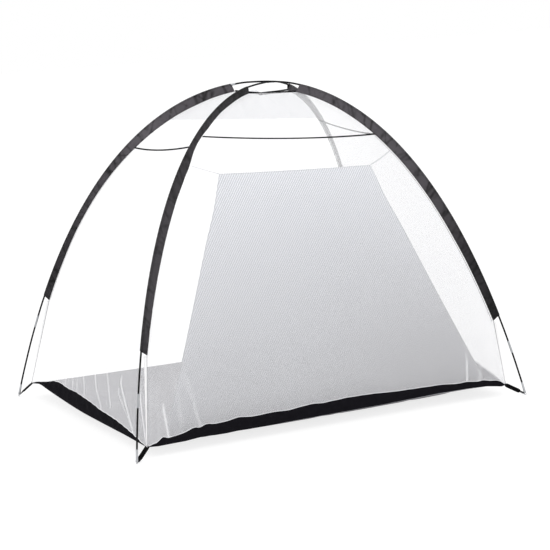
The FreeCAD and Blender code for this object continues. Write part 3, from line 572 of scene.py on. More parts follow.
def make_tapes():
    """Flat strips from the sleeve's lower seam end to the net corner, narrowing on the way."""
    for corner in CORNERS:
        top, low = seam_end(corner, False), net_corner(corner)
        way, length = unit(low - top), np.linalg.norm(low - top)
        out = unit(np.cross(way, leg_at(corner, sleeve_span(corner)[0], "side")))
        out = out if out @ FEET[corner] > 0 else -out
        v = np.linspace(0.001, length - 0.0015, 60)[:, None]
        a = np.linspace(0.0, 1.0, 5)[None, :]
        broad = TAPE_BROAD[corner]
        width = broad - (broad - TAPE_NARROW) * np.clip(v / length, 0, 1)
        ripple = 0.0006 * np.sin(v * 90 + a * 2) * a
        points = (top + way * (v + 0.003 * a * (v < length / 2))[..., None]
                  + out * (a * width)[..., None] + unit(np.cross(way, out)) * ripple[..., None])
        tape = cloth("seam_tape_" + corner, points, WHITE_TAPE, TAPE_THICK, uv=paired(a * broad, v))
        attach(tape, "net_and_poles")
        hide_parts("corner_seam_tapes")


make_tapes()


# Net walls.
# Three sides are open white netting, sewn to the seams of two legs, to the black skirt
# below and to the roof above. The cloth is drawn in a little between its seams.
SIDES = {"right": ("front_right", "rear_right"), "back": ("rear_right", "rear_left"),
         "left": ("rear_left", "front_left"), "front": ("front_left", "front_right")}
NETTED = ("right", "back", "left")
OUT = {"right": np.array([1, 0, 0]), "left": np.array([-1, 0, 0]),
       "back": np.array([0, 1, 0]), "front": np.array([0, -1, 0])}
ROOF_LINE = {("right", "front_right"): 1.222, ("right", "rear_right"): 1.300,
             ("back", "rear_right"): 1.334, ("back", "rear_left"): 1.258,
             ("left", "rear_left"): 1.258, ("left", "front_left"): 1.262,
             ("front", "front_left"): 1.272, ("front", "front_right"): 1.350}
KNOT = np.array([-0.050, 0.0, 1.463])
NET_GAP, NET_SIDE, GORE_STOP = 0.0004, 0.0012, 0.016
BOW = {"right": 0.012, "left": 0.012, "back": 0.010, "front": 0.022}
MID_Z = {"right": 0.046, "left": 0.046, "back": 0.052, "front": 0.062}
BASE_RISE = {
    "right": ((0.0, 0.011, 0.038, 0.065, 0.091, 0.118, 0.172, 0.252, 0.323, 0.40, 0.463, 0.60, 0.74,
               0.81, 1.0),
              (0.0, 3.0, 11.3, 18.6, 20.0, 17.0, 12.5, 7.5, 3.4, 0.0, -1.4, 0.0, 1.7, 2.7, 0.0)),
    "back": ((0.0, 0.030, 0.10, 0.137, 0.15, 0.18, 0.21, 0.24, 0.27, 0.44, 0.574, 0.643, 0.747, 0.80, 0.888,
              0.945, 0.971, 0.989, 1.0),
             (0.0, -4.5, -4.0, 1.3, 2.0, -1.4, -2.5, 0.0, -2.0, 1.0, 2.8, 3.8, 9.1, 11.8, 11.5,
              7.6, 0.5, -4.8, 0.0))}
SKIRT_TOP = {
    "right": ((0.0, 0.01, 0.035, 0.061, 0.087, 0.114, 0.141, 0.167, 0.193, 0.221, 0.249, 0.326, 0.40, 0.474,
               0.546, 0.617, 0.686, 0.753, 0.819, 0.884, 0.94, 1.0),
              (0.0, 7.0, 20.4, 29.8, 37.6, 46.6, 55.5, 65.3, 76.3, 79.8, 84.5, 80.0, 84.6, 80.0,
               74.9, 64.3, 61.1, 55.6, 45.6, 32.0, 18.0, 0.0)),
    "back": ((0.0, 0.012, 0.028, 0.034, 0.044, 0.050, 0.098, 0.122, 0.137, 0.154, 0.177, 0.209, 0.242, 0.274,
              0.339, 0.372, 0.439, 0.472, 0.54, 0.608, 0.677, 0.782, 0.818, 0.852, 0.888, 0.924, 0.936,
              0.954, 0.98, 0.989, 1.0),
             (0.0, 9.5, 14.8, 33.0, 37.0, 25.0, 37.3, 54.8, 46.4, 60.4, 52.4, 55.6, 64.7, 56.2,
              60.2, 55.9, 66.9, 62.1, 67.9, 65.8, 58.2, 54.1, 53.0, 45.2, 46.4, 38.2, 42.1,
              34.0, 28.1, 20.5, 0.0)),
    "left": ((0.0, 0.016, 0.044, 0.067, 0.091, 0.121, 0.152, 0.173, 0.25, 0.42, 0.6, 0.75, 0.85, 0.92, 1.0),
             (0.0, 2.1, 16.9, 28.7, 36.4, 47.7, 58.2, 66.9, 76.0, 80.0, 82.0, 72.0, 42.0, 16.0, 0.0))}
BINDING_SAG, BINDING_H = 0.022, 0.008
NET_PULL, STREAK_OUT = 0.010, 0.0025
HEM_W, HEM_OUT, HEM_THICK = 0.0095, 0.0009, 0.0007


def net_edge(side, corner):
    """Line that a side's cloth hangs on: straight from the net corner to the sleeve, along the
    sleeve's seam, then straight towards the crown knot; with the distance along it."""
    low, high = sleeve_span(corner)
    first, second = SIDES[side]
    other = second if corner == first else first
    away = unit(FEET[other] - FEET[corner])
    aside = leg_at(corner, low - SLANT_LOW, "side")
    aside = aside if aside @ away > 0 else -aside
    start, top = net_corner(corner), seam_end(corner, False)
    tape = start + np.linspace(0.0, 1.0, 60)[:-1, None] * (top - start)
    s = np.linspace(low - SLANT_LOW, high + SLANT_HIGH, 400)
    seam = seam_at(corner, s, NET_GAP)
    way = unit(KNOT - seam[-1])
    stop = np.linalg.norm(KNOT - seam[-1]) - GORE_STOP
    crown = seam[-1] + np.linspace(0.0, stop, 60)[1:, None] * way
    line = np.concatenate([tape, seam, crown]) + aside * NET_SIDE
    return run_along(line), line


EDGES = {side: [net_edge(side, corner) for corner in SIDES[side]] for side in SIDES}
ROOF = {side: [np.interp(ROOF_LINE[side, corner], line[:, 2], run)
               for corner, (run, line) in zip(SIDES[side], EDGES[side])] for side in SIDES}


def on_net(side, u, near, far):
    """Straight ruling between the two edge lines of a side, at distances near and far on them."""
    first, second = (at_run(s, *edge) for edge, s in zip(EDGES[side], (near, far)))
    u = np.asarray(u)[..., None]
    return first * (1 - u) + second * u


def at_share(side, u, share):
    """Point of each ruling's family at one share of the way up to the roof line."""
    return on_net(side, u, ROOF[side][0] * share, ROOF[side][1] * share)


def grid(rows, columns):
    """Shares up and across a piece, each over the whole grid."""
    return np.meshgrid(rows, columns, indexing="ij")


def bow(u):
    """Parabola, nothing at both ends and one half way."""
    return 4.0 * u * (1.0 - u)


def base_rise(side, u):
    """How far a base edge is pulled above its parabola, from marks in millimetres."""
    return np.interp(u, *BASE_RISE[side]) / 1000 if side in BASE_RISE else 0.0 * np.asarray(u)


def base_edge(side, u):
    """Lower edge of a side between its net corners: bowed in, hanging by a parabola and pulled up
    at its marks."""
    a, b = (net_corner(corner) for corner in SIDES[side])
    hang = (a[2] + b[2]) / 2 - MID_Z[side]
    rise = base_rise(side, u)
    u = np.asarray(u)[..., None]
    return (a * (1 - u) + b * u - OUT[side] * BOW[side] * bow(u)
            + UP * (rise[..., None] - hang * bow(u)))


def skirt_height(side, u):
    """Skirt height above the base edge: straight runs between marks, in millimetres above the edge's
    parabola, rounded by averaging over a short span, less the edge's own rise."""
    if side == "front":
        return 0.0 * u
    span = np.clip(np.minimum(u, 1.0 - u), 0.0, 0.006)
    top = sum(np.interp(u + span * t, *SKIRT_TOP[side]) for t in np.linspace(-1, 1, 5)) / 5000
    return np.maximum(top - base_rise(side, u), 0.0012) * np.clip(np.minimum(u, 1.0 - u) / 0.004, 0, 1)


def net_share(side, u, z):
    """Share of the way up a wall at which each ruling reaches height z, by bisection."""
    low, high = np.zeros_like(u), np.ones_like(u)
    for _ in range(30):
        mid = (low + high) / 2
        below = at_share(side, u, mid)[..., 2] < z
        low, high = np.where(below, mid, low), np.where(below, high, mid)
    return low


def wall_points(side, u, v):
    """Wall from the skirt's top, v = 0, to the roof line, v = 1, drawn in by a product of sines."""
    bottom = net_share(side, u, base_edge(side, u)[..., 2] + skirt_height(side, u) + 0.0004)
    mean = sum(ROOF[side]) / 2
    top = 1.0 - (BINDING_SAG * bow(u) + BINDING_H / 2) / mean
    points = at_share(side, u, bottom + (top - bottom) * v)
    pull = NET_PULL * np.sin(math.pi * u) ** 0.7 * np.sin(math.pi * np.clip(v, 0, 1)) ** 0.8
    return points - OUT[side] * pull[..., None]


def streaks(side, u, z):
    """Narrow folds of the netting above the skirt: for each, a bell curve over the distance to a
    bent line through its marks (share along the side, height), fading at both of its ends."""
    wide = np.linalg.norm(net_corner(SIDES[side][0]) - net_corner(SIDES[side][1]))
    total = np.zeros_like(u)
    for strength, half, marks in STREAKS[side]:
        marks = np.array(marks)
        order = np.argsort(marks[:, 1])
        middle = np.interp(z, marks[order, 1], marks[order, 0])
        low, high = marks[order[0], 1], marks[order[-1], 1]
        fade = np.clip((z - low + 0.02) / 0.02, 0, 1) * np.clip((high + 0.05 - z) / 0.05, 0, 1)
        total = np.maximum(total, strength * np.exp(-((u - middle) * wide / half) ** 2) * fade)
    return total


def thread_group():
    """Group: netting from the cloth's UV in metres. Each family of threads is where the distance
    to its nearest line is under half the thread's width; a thread of either family covers."""
    group, given, made = new_group("net threads", ("Pitch", "Thread"), ("Cover",))
    edge = maths(group, "MULTIPLY", given["Thread"], 0.5)
    outer, inner = (maths(group, "MULTIPLY", edge, share) for share in (1.25, 0.75))
    half = maths(group, "MULTIPLY", given["Pitch"], 0.5)
    families = [mapped(group, maths(group, "PINGPONG", part, half), outer, inner)
                for part in uv_parts(group)]
    group.links.new(maths(group, "MAXIMUM", *families), made["Cover"])
    return group


THREADS = thread_group()


def netting(name, colour, pitch, thread):
    """Open netting: one thread colour, see-through between its threads, closer where folds are."""
    look, tree, shader = material(name)
    net = add(tree, "ShaderNodeGroup", {"Pitch": pitch, "Thread": thread}, node_tree=THREADS)
    fold = add(tree, "ShaderNodeAttribute", attribute_name="close")
    feed(tree, shader, {"Base Color": colour, "Roughness": 0.8, "Specular IOR Level": 0.2,
                        "Alpha": maths(tree, "MAXIMUM", net.outputs["Cover"], fold.outputs["Fac"])})
    return look


WHITE_NET = netting("white netting", tone(251, 251, 253), 0.0030, 0.00060)
WHITE_HEM = woven("white sewn hem", tone(250, 250, 252), tone(254, 254, 254), 0.0010,
                  stitch=(0.0082, 0.0012, tone(80, 80, 86)))
PLAIN_HEM = woven("white turned hem", tone(250, 250, 252), tone(254, 254, 254), 0.0010)
STREAKS = {
    "right": ((0.55, 0.006, ((0.350, 0.200), (0.364, 0.145))),
              (0.45, 0.005, ((0.392, 0.190), (0.407, 0.130))),
              (0.60, 0.006, ((0.444, 0.225), (0.472, 0.140))),
              (0.75, 0.006, ((0.540, 0.260), (0.567, 0.190), (0.622, 0.125))),
              (0.45, 0.008, ((0.640, 0.300), (0.700, 0.150))),
              (0.55, 0.006, ((0.757, 0.222), (0.870, 0.112))),
              (0.95, 0.006, ((0.775, 0.270), (0.792, 0.238), (0.894, 0.082))),
              (0.95, 0.006, ((0.945, 0.250), (0.955, 0.210), (0.990, 0.076))),
              (0.30, 0.012, ((0.290, 0.190), (0.300, 0.130)))),
    "back": ((0.15, 0.008, ((0.012, 0.300), (0.010, 0.080))),
             (0.15, 0.009, ((0.027, 0.280), (0.030, 0.080))),
             (0.70, 0.006, ((0.042, 0.205), (0.047, 0.160), (0.055, 0.078))),
             (0.30, 0.007, ((0.124, 0.190), (0.140, 0.100))),
             (0.12, 0.014, ((0.075, 0.330), (0.090, 0.120))),
             (0.14, 0.016, ((0.100, 0.330), (0.118, 0.240))),
             (0.65, 0.005, ((0.899, 0.190), (0.887, 0.082))),
             (0.25, 0.010, ((0.935, 0.150), (0.925, 0.080)))),
    "left": ((0.4, 0.006, ((0.30, 0.20), (0.33, 0.12))), (0.4, 0.006, ((0.62, 0.22), (0.60, 0.13))))}
NET_COLUMNS = {"right": 361, "back": 441, "left": 301}


def make_walls():
    """One grid of rulings for each side; the floor's skirt and the roof close it. The streaks
    stand out a little, and the doubled netting in them is closer."""
    for side in NETTED:
        v, u = grid(np.linspace(0, 1, 131), np.linspace(0.0, 1.0, NET_COLUMNS[side]))
        points = wall_points(side, u, v)
        fold = streaks(side, u, points[..., 2])
        wall = cloth("net_" + side, points + OUT[side] * (STREAK_OUT * fold)[..., None], WHITE_NET)
        paint(wall, "close", fold)
        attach(wall, "net_and_poles")
        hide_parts("net_wall_" + side)
        make_hems(side)


def make_hems(side):
    """Doubled white edge of a wall along the seams of its two legs: a strip as wide as the hem
    on the wall's outer side, beside the sleeves and up to the roof line."""
    hems = []
    for end, corner in enumerate(SIDES[side]):
        first = np.linalg.norm(seam_end(corner, False) - net_corner(corner)) / ROOF[side][end]
        k = np.linspace(first, 0.995, 220)[:, None]
        w = np.linspace(0.0002, HEM_W, 5)[None, :]
        near, far = (roof * k + 0 * w for roof in ROOF[side])
        wide = np.linalg.norm(on_net(side, 1.0 + 0 * near, near, far)
                              - on_net(side, 0 * near, near, far), axis=-1)
        u = w / wide if end == 0 else 1.0 - w / wide
        hem = cloth("net_hem_%s_%s" % (side, corner), on_net(side, u, near, far) + OUT[side] * HEM_OUT,
                    PLAIN_HEM if corner == "rear_right" else WHITE_HEM, HEM_THICK, uv=paired(w, near))
        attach(hem, "net_and_poles")
        hems.append(hem)
    return hems


make_walls()


# Roof gores.
# Four pieces close the top between the roof line and the crown. Three are the same netting
# as the walls; the front one is thin close cloth that ends in a free edge over the opening.
SLACK_FOLDS, SLACK_LEAN = 16, np.array([0, -0.4, 0.9])
ROOF_CLOTH = woven("thin white roof cloth", tone(236, 238, 242), tone(248, 249, 252), 0.0008,
                   roughness=0.75)
thin = add(ROOF_CLOTH.node_tree, "ShaderNodeGroup", {"Pitch": 0.0016, "Thread": 0.00052},
           node_tree=THREADS)
feed(ROOF_CLOTH.node_tree, ROOF_CLOTH.node_tree.nodes["Principled BSDF"],
     {"Alpha": thin.outputs["Cover"]})


def gore_points(side, u, v):
    """Gore from the roof line, v = 0, to the crown, v = 1, between the two seams. The front one
    has no binding under it and doesn't sag."""
    lift, sag = (0.0, 0.0) if side == "front" else (BINDING_H / 2, BINDING_SAG)
    ends = []
    for roof, (run, _) in zip(ROOF[side], EDGES[side]):
        low = roof + lift - sag * bow(u)
        ends.append(low + (run[-1] - low) * v)
    return on_net(side, u, *ends)


def slack_folds(u, v):
    """Folds that fan from the crown: bell curves across the gore, with seeded places, slants,
    widths and heights, dying out at the seams and the crown and nearly so at the free edge."""
    rng = np.random.default_rng(5)
    fold = np.zeros_like(u)
    for _ in range(SLACK_FOLDS):
        at, slant, width = rng.uniform(0.05, 0.95), rng.uniform(-0.5, 0.5), rng.uniform(0.02, 0.06)
        fold += rng.uniform(-0.012, 0.015) * np.exp(-((u - at - slant * (v - 0.5)) / width) ** 2)
    fold *= np.sin(math.pi * u) * np.clip((1 - v) * 4, 0, 1) * np.clip(0.08 + v * 4, 0, 1)
    return fold[..., None]


def make_gores():
    """One grid of rulings each; the front gore is slack and lies in folds."""
    for side in SIDES:
        v, u = grid(np.linspace(0, 1, 61), np.linspace(0.0, 1.0, 121))
        points = gore_points(side, u, v)
        if side == "front":
            points = points + SLACK_LEAN * slack_folds(u, v)
        gore = cloth("gore_" + side, points, ROOF_CLOTH if side == "front" else WHITE_NET)
        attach(gore, "net_and_poles")
        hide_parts("roof_gore_" + side)


make_gores()


# Roof line bindings.
# A narrow black binding is sewn over the seam between each wall and its gore. It hangs a
# little in the middle.
BINDING_THICK, BINDING_OUT = 0.0026, 0.0007
BLACK_TRIM = woven("black binding tape", tone(10, 10, 11), tone(24, 23, 25), 0.0011,
                   relief=0.3, gloss=0.15)


def make_bindings():
    """Narrow band along the roof line: it follows the rulings, lowered by the sag parabola."""
    for side in NETTED:
        u = np.linspace(0.002, 0.998, 120)[None, :]
        h = np.linspace(-0.5, 0.5, 5)[:, None]
        ends = [roof + BINDING_H * h - BINDING_SAG * bow(u) for roof in ROOF[side]]
        points = on_net(side, u + 0 * h, *ends) + OUT[side] * BINDING_OUT
        band = cloth("roof_binding_" + side, points, BLACK_TRIM, BINDING_THICK)
        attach(band, "net_and_poles")
        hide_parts("roof_line_bindings")


make_bindings()


# Crown tapes.
# Four folded black tapes run from the sleeves' upper ends to one knot under the crossing
# of the poles, and the gores are sewn to them.
CROWN_TAPE_THICK, CROWN_TAPE_START = 0.0030, 0.0012
CROWN_TAPE_DEPTH, CROWN_TAPE_DEEPER = 0.0080, 0.0050
KNOT_R, KNOT_HALF, KNOT_LOWER = 0.0092, 0.0065, 0.0015


def make_crown():
    """Bands on edge along straight chords, deeper and a little lower towards the knot, and the
    knot as a ribbed bundle of their ends."""
    for corner in CORNERS:
        start = seam_end(corner, True)
        way = unit(KNOT - start)
        start = start + way * CROWN_TAPE_START
        length = np.linalg.norm(KNOT - start)
        v = np.linspace(0.0, 1.0, 50)[None, :]
        h = np.linspace(-0.5, 0.5, 5)[:, None]
        depth = CROWN_TAPE_DEPTH + CROWN_TAPE_DEEPER * v ** 3
        high = unit(np.cross(np.cross(way, UP), way))
        rise = 0.0032 - 0.0015 * np.sin(math.pi * v) - 0.0035 * v ** 4
        points = start + way * (v * length + 0 * h)[..., None] + high * (h * depth + rise)[..., None]
        band = cloth("crown_tape_" + corner, points, BLACK_TRIM, CROWN_TAPE_THICK)
        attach(band, "net_and_poles")
        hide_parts("crown_tapes")
    turn, rise = np.linspace(0, 2 * math.pi, 49)[None, :-1], np.linspace(-1, 1, 25)[:, None]
    ribs = 1 + 0.07 * np.sin(7 * turn + 2 * rise) + 0.05 * np.cos(9 * rise)
    radius = KNOT_R * np.sqrt(1 - 0.75 * rise ** 4) * ribs
    knot = KNOT + np.stack([radius * np.cos(turn), radius * np.sin(turn),
                            KNOT_HALF * rise + 0 * turn - KNOT_LOWER], axis=-1)
    bundle = cloth("crown_knot", knot, BLACK_TRIM, uv=paired(turn * 0.009, rise * 0.007),
                   close_across=True, cap=True)
    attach(bundle, "net_and_poles")


make_crown()


# Base skirts.
# A strip of close black cloth closes the foot of each netted side. Its upper edge waves
# where the netting pulls on it and is bound in white; the floor is sewn to its lower edge.
SKIRT_THICK, SKIRT_BINDING_THICK, SKIRT_BINDING_OUT = 0.0009, 0.0022, 0.0004
SKIRT_BINDING_HALF = {"right": 0.0011, "back": 0.0011, "left": 0.0042}
SKIRT_CLOTH = woven("close black skirt cloth", tone(17, 16, 20), tone(29, 28, 32), 0.0011,
                    relief=0.3, gloss=0.02)
SKIRT_BINDING = woven("white skirt binding", tone(240, 240, 243), tone(252, 252, 254), 0.0010,
                      relief=0.3, stitch=(0.0032, 0.0012, tone(120, 120, 125)))


def skirt_points(side, u, v, inset=0.0):
    """Between the base edge, v = 0, and the wall's lower edge, v = 1, with shallow folds."""
    base = base_edge(side, u)
    top = at_share(side, u, net_share(side, u, base[..., 2] + skirt_height(side, u)))
    points = base * (1 - v[..., None]) + top * v[..., None]
    fold = 0.0020 * np.sin(u * 61 + 2 * v) * np.sin(math.pi * v) + 0.0012 * np.sin(u * 143 - 3 * v) * v
    return points + OUT[side] * (fold - inset)[..., None]


def make_skirts():
    """Black strip with a thickness, and the white binding as a narrow band on its upper edge."""
    for side in NETTED:
        v, u = grid(np.linspace(0, 1, 13), np.linspace(0.004, 0.996, 601))
        points = skirt_points(side, u, v)
        skirt = cloth("skirt_" + side, points, SKIRT_CLOTH, SKIRT_THICK)
        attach(skirt, "net_and_poles")
        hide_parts("base_skirt_" + side)
        rise = np.linspace(-1, 1, 5) * SKIRT_BINDING_HALF[side]
        edge = points[-1][:, None] + rise[:, None] * UP + OUT[side] * SKIRT_BINDING_OUT
        trim = cloth("skirt_binding_" + side, edge, SKIRT_BINDING, SKIRT_BINDING_THICK,
                     uv=paired(rise[None, :], run_along(points[-1])[:, None]))
        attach(trim, "net_and_poles")


make_skirts()


# Floor sheet.
# A grey woven sheet lies on the ground, is drawn up at its edges to the taut base edges and
# turned up inside the skirts, and is lifted in a ridge where the hitting panel is sewn on.
FLOOR_THICK, FLOOR_FLAT, FLOOR_RISE, TURN_UP_IN = 0.0008, 0.24, 4.4, 0.0022
PANEL_X, PANEL_Y, PANEL_Z, PANEL_HALF = -0.016, 0.645, 0.056, 0.836
RIDGE_HALF, RIDGE_END, RIDGE_UNDER = 0.05, 0.04, 0.0010
WRINKLE_CORNER, CORNER_WRINKLES, LOOSE_WRINKLES = (0.933, 0.70), 7, 40
GREY_FLOOR = woven("grey woven floor", tone(150, 149, 153), tone(170, 169, 173), 0.0016, relief=0.3)


def floor_points(x, y):
    """Sheet between the four base edges (edges blended across, corners counted once), flat on the
    ground in the middle and rising by a power of the share of the way from there to an edge."""
    u, w = (x + 1) / 2, (y + 1) / 2
    front, back = base_edge("front", u), base_edge("back", 1 - u)
    left, right = base_edge("left", 1 - w), base_edge("right", w)
    corners = {name: net_corner(name) for name in CORNERS}
    u3, w3 = u[..., None], w[..., None]
    plain = (front * (1 - w3) + back * w3 + left * (1 - u3) + right * u3
             - (corners["front_left"] * (1 - u3) + corners["front_right"] * u3) * (1 - w3)
             - (corners["rear_left"] * (1 - u3) + corners["rear_right"] * u3) * w3)
    flat = 1.0
    for share in (x, y):
        flat = flat * (1 - np.clip((np.abs(share) - FLOOR_FLAT) / (1 - FLOOR_FLAT), 0, 1) ** FLOOR_RISE)
    plain[..., 2] = plain[..., 2] + (FLOOR_THICK - plain[..., 2]) * flat
    over = np.clip(1 - np.abs(plain[..., 1] - PANEL_Y) / RIDGE_HALF, 0, 1) ** 1.3
    end = PANEL_HALF + RIDGE_END - np.abs(plain[..., 0] - PANEL_X)
    over = over * np.clip(end / RIDGE_END, 0, 1)
    plain[..., 2] = plain[..., 2] * (1 - over) + (PANEL_Z - RIDGE_UNDER) * over
    return plain


def floor_wrinkles(points, x, y):
    """Low ridges: seven fan in from each corner, forty lie loose about the sheet; none reach its
    edges or the panel's foot."""
    rng = np.random.default_rng(31)
    total = np.zeros(points.shape[:2])
    for sx in (-1, 1):
        for sy in (-1, 1):
            dx = (WRINKLE_CORNER[0] * sx - points[..., 0]) * sx
            dy = (WRINKLE_CORNER[1] * sy - points[..., 1]) * sy
            far, angle = np.hypot(dx, dy), np.arctan2(dy, dx)
            for _ in range(CORNER_WRINKLES):
                at, width = rng.uniform(0.12, 1.45), rng.uniform(0.03, 0.07)
                size, reach = rng.uniform(0.002, 0.006), rng.uniform(0.25, 0.7)
                total += (size * np.exp(-((angle - at) / width) ** 2) * np.clip(far / 0.12, 0, 1)
                          * np.exp(-(far / reach) ** 2))
    for _ in range(LOOSE_WRINKLES):
        cx, cy = rng.uniform(-0.85, 0.85), rng.uniform(-0.62, 0.62)
        turn, width, reach = rng.uniform(0, math.pi), rng.uniform(0.012, 0.03), rng.uniform(0.08, 0.25)
        dx, dy = points[..., 0] - cx, points[..., 1] - cy
        a = dx * math.cos(turn) + dy * math.sin(turn)
        b = -dx * math.sin(turn) + dy * math.cos(turn)
        total += rng.uniform(0.001, 0.0035) * np.exp(-(a / reach) ** 2 - (b / width) ** 2)
    fade = np.clip((1 - np.abs(x)) / 0.04, 0, 1) * np.clip((1 - np.abs(y)) / 0.05, 0, 1)
    near = np.clip(np.abs(points[..., 1] - PANEL_Y) / RIDGE_HALF, 0, 1)
    return total * fade * near


def make_floor():
    """The sheet itself, then the strips that it turns up inside each skirt. Rows and columns are
    closer towards its edges and at the panel's foot."""
    columns = np.sin(np.linspace(-1, 1, 181) * math.pi / 2) * 0.9994
    rows = np.sin(np.linspace(-1, 0.72, 130) * math.pi / 2)
    y, x = grid(np.concatenate([rows, np.linspace(0.907, 1, 24)]) * 0.9993, columns)
    points = floor_points(x, y)
    points[..., 2] += floor_wrinkles(points, x, y)
    floor = cloth("floor_sheet_cloth", points, GREY_FLOOR, FLOOR_THICK, -1.0)
    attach(floor, "net_and_poles")
    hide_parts("floor_sheet")
    for side in NETTED:
        v, u = grid(np.linspace(0.02, 0.96, 9), np.linspace(0.004, 0.996, 401))
        strip = cloth("floor_turn_up_" + side, skirt_points(side, u, v, TURN_UP_IN), GREY_FLOOR)
        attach(strip, "net_and_poles")


make_floor()


# Hitting panel.
# A trapezoid of close light grey cloth stops the ball. Its foot is sewn across the back of
# the floor, its top corners are tied to the rear legs, and it leans towards the front.
PANEL_TOP_RIGHT, PANEL_TOP_LEFT = np.array([0.373, 0.391, 1.162]), np.array([-0.402, 0.400, 1.126])
PANEL_WAIST_RIGHT, PANEL_WAIST_LEFT = 0.007, 0.005
PANEL_FEET = [np.array([PANEL_X + x, PANEL_Y, PANEL_Z]) for x in (-PANEL_HALF, PANEL_HALF)]
PANEL_THICK, PANEL_BELLY, PULL_HIGH, PULL_ANGLES = 0.0008, 0.010, 0.0028, (0.35, 0.62, 0.9, 1.2)
RIB_PITCH, RIB_SLANT, HEM_LINE = 0.0118, 0.72, 0.003


def panel_cloth():
    """Light grey twill: steep diagonal ribs 11.8 mm apart along a row over the plain weave, painted
    shade that greys it towards its foot and, low down, towards its left end, and a stitch line along its
    edges."""
    look = woven("light grey panel cloth", tone(243, 245, 251), tone(249, 251, 255), 0.0009)
    tree = look.node_tree
    shader = tree.nodes["Principled BSDF"]
    colour = shader.inputs["Base Color"].links[0].from_socket
    across, up = uv_parts(tree)
    turns = maths(tree, "ADD", across, maths(tree, "MULTIPLY", up, RIB_SLANT))
    turns = maths(tree, "MULTIPLY", turns, 2 * math.pi / RIB_PITCH)
    rib = mapped(tree, maths(tree, "SINE", turns), -1.0, 1.0, 0.0, 0.85)
    colour = mixed(tree, rib, colour, tone(150, 153, 162))
    # Painted shade: the cloth is greyer towards its foot and, low down, towards its left end, where less
    # light falls on it.
    place = add(tree, "ShaderNodeTexCoord")
    x, _, z = add(tree, "ShaderNodeSeparateXYZ", {0: place.outputs["Object"]}).outputs
    aside = mapped(tree, x, 0.15, -0.70, 0.0, 0.26)
    aside = maths(tree, "MULTIPLY", aside, mapped(tree, z, 1.05, 0.40))
    low = maths(tree, "ADD", mapped(tree, z, 1.1, 0.05, 0.0, 0.86), aside)
    colour = mixed(tree, low, colour, tone(150, 150, 154))
    edge = add(tree, "ShaderNodeAttribute", attribute_name="edge")
    off = maths(tree, "ABSOLUTE", maths(tree, "SUBTRACT", edge.outputs["Fac"], HEM_LINE))
    colour = mixed(tree, mapped(tree, off, 0.0030, 0.0015, 0.0, 0.30), colour, tone(120, 120, 125))
    tree.links.new(colour, shader.inputs["Base Color"])
    return look


PANEL_CLOTH = panel_cloth()


def panel_points(u, v):
    """Ruled between foot and top, belly out by sines, with pulls that fan from the top corners."""
    foot = PANEL_FEET[0] * (1 - u[..., None]) + PANEL_FEET[1] * u[..., None]
    top = PANEL_TOP_LEFT * (1 - u[..., None]) + PANEL_TOP_RIGHT * u[..., None]
    points = foot * (1 - v[..., None]) + top * v[..., None]
    points[..., 2] -= 0.003 * bow(u) * v ** 6
    shoulder = 0.0065 * np.exp(-((v - 0.86) / 0.09) ** 2)
    waist = (PANEL_WAIST_LEFT * (1 - u) - PANEL_WAIST_RIGHT * u) * bow(v)
    points[..., 0] += waist + shoulder * (1 - 2 * u)
    pull = np.zeros_like(u)
    for end in (0, 1):
        across, down = np.abs(u - end) * 1.2, (1 - v) * 1.12
        angle, far = np.arctan2(down, across), np.hypot(across, down)
        for at in PULL_ANGLES:
            bell = np.exp(-((angle - at - 0.05 * end) / 0.05) ** 2) * np.exp(-(far / 0.3) ** 2)
            pull += PULL_HIGH * bell * (far / 0.06).clip(0, 1)
    points[..., 1] += pull - PANEL_BELLY * np.sin(math.pi * u) * np.sin(math.pi * v)
    return points


def make_panel():
    """The cloth as one grid, with each point's distance to the nearest free edge for the hem."""
    v, u = grid(np.linspace(0, 1, 141), np.linspace(0, 1, 161))
    points = panel_points(u, v)
    panel = cloth("hitting_panel_cloth", points, PANEL_CLOTH, PANEL_THICK)
    wide = np.linalg.norm(points[:, -1] - points[:, 0], axis=-1)[:, None]
    paint(panel, "edge", np.minimum(np.minimum(u, 1 - u) * wide, (1 - v) * 1.1))
    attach(panel, "hitting_panel")
    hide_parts("hitting_panel")


make_panel()


# Panel ties.
# A thin light cord at each top corner of the panel is knotted through the seam of the rear
# leg beside it and holds the panel up.
TIE_D, HITCH_WIRE, HITCH_R, HITCH_STEP, STRAND_R = 0.0024, 0.0009, 0.0022, 0.0005, 0.0011
TIE_SAG, SECOND_SAG, TIE_BACK = 0.0015, 0.0042, 0.0005
TIE_Z = {"rear_right": 1.222, "rear_left": 1.182}
TIE_CORD = grained("light grey tie cord", tone(166, 168, 173), tone(200, 201, 205), (0.75, 0.9),
                   700.0, 1.0, bump=0.3)


def cord_curve(name, route, depth):
    """One open smooth spline over the route's points, round in section."""
    data = bpy.data.curves.new(name, "CURVE")
    data.dimensions = "3D"
    spline = data.splines.new("NURBS")
    spline.points.add(len(route) - 1)
    spline.points.foreach_set("co", np.concatenate([route, np.ones((len(route), 1))], axis=1).ravel())
    spline.order_u, spline.use_endpoint_u = 3, True
    data.bevel_depth, data.bevel_resolution, data.use_fill_caps = depth, 4, True
    cord = bpy.data.objects.new(name, data)
    bpy.context.scene.collection.objects.link(cord)
    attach(dress(cord, TIE_CORD), "hitting_panel")
    return cord


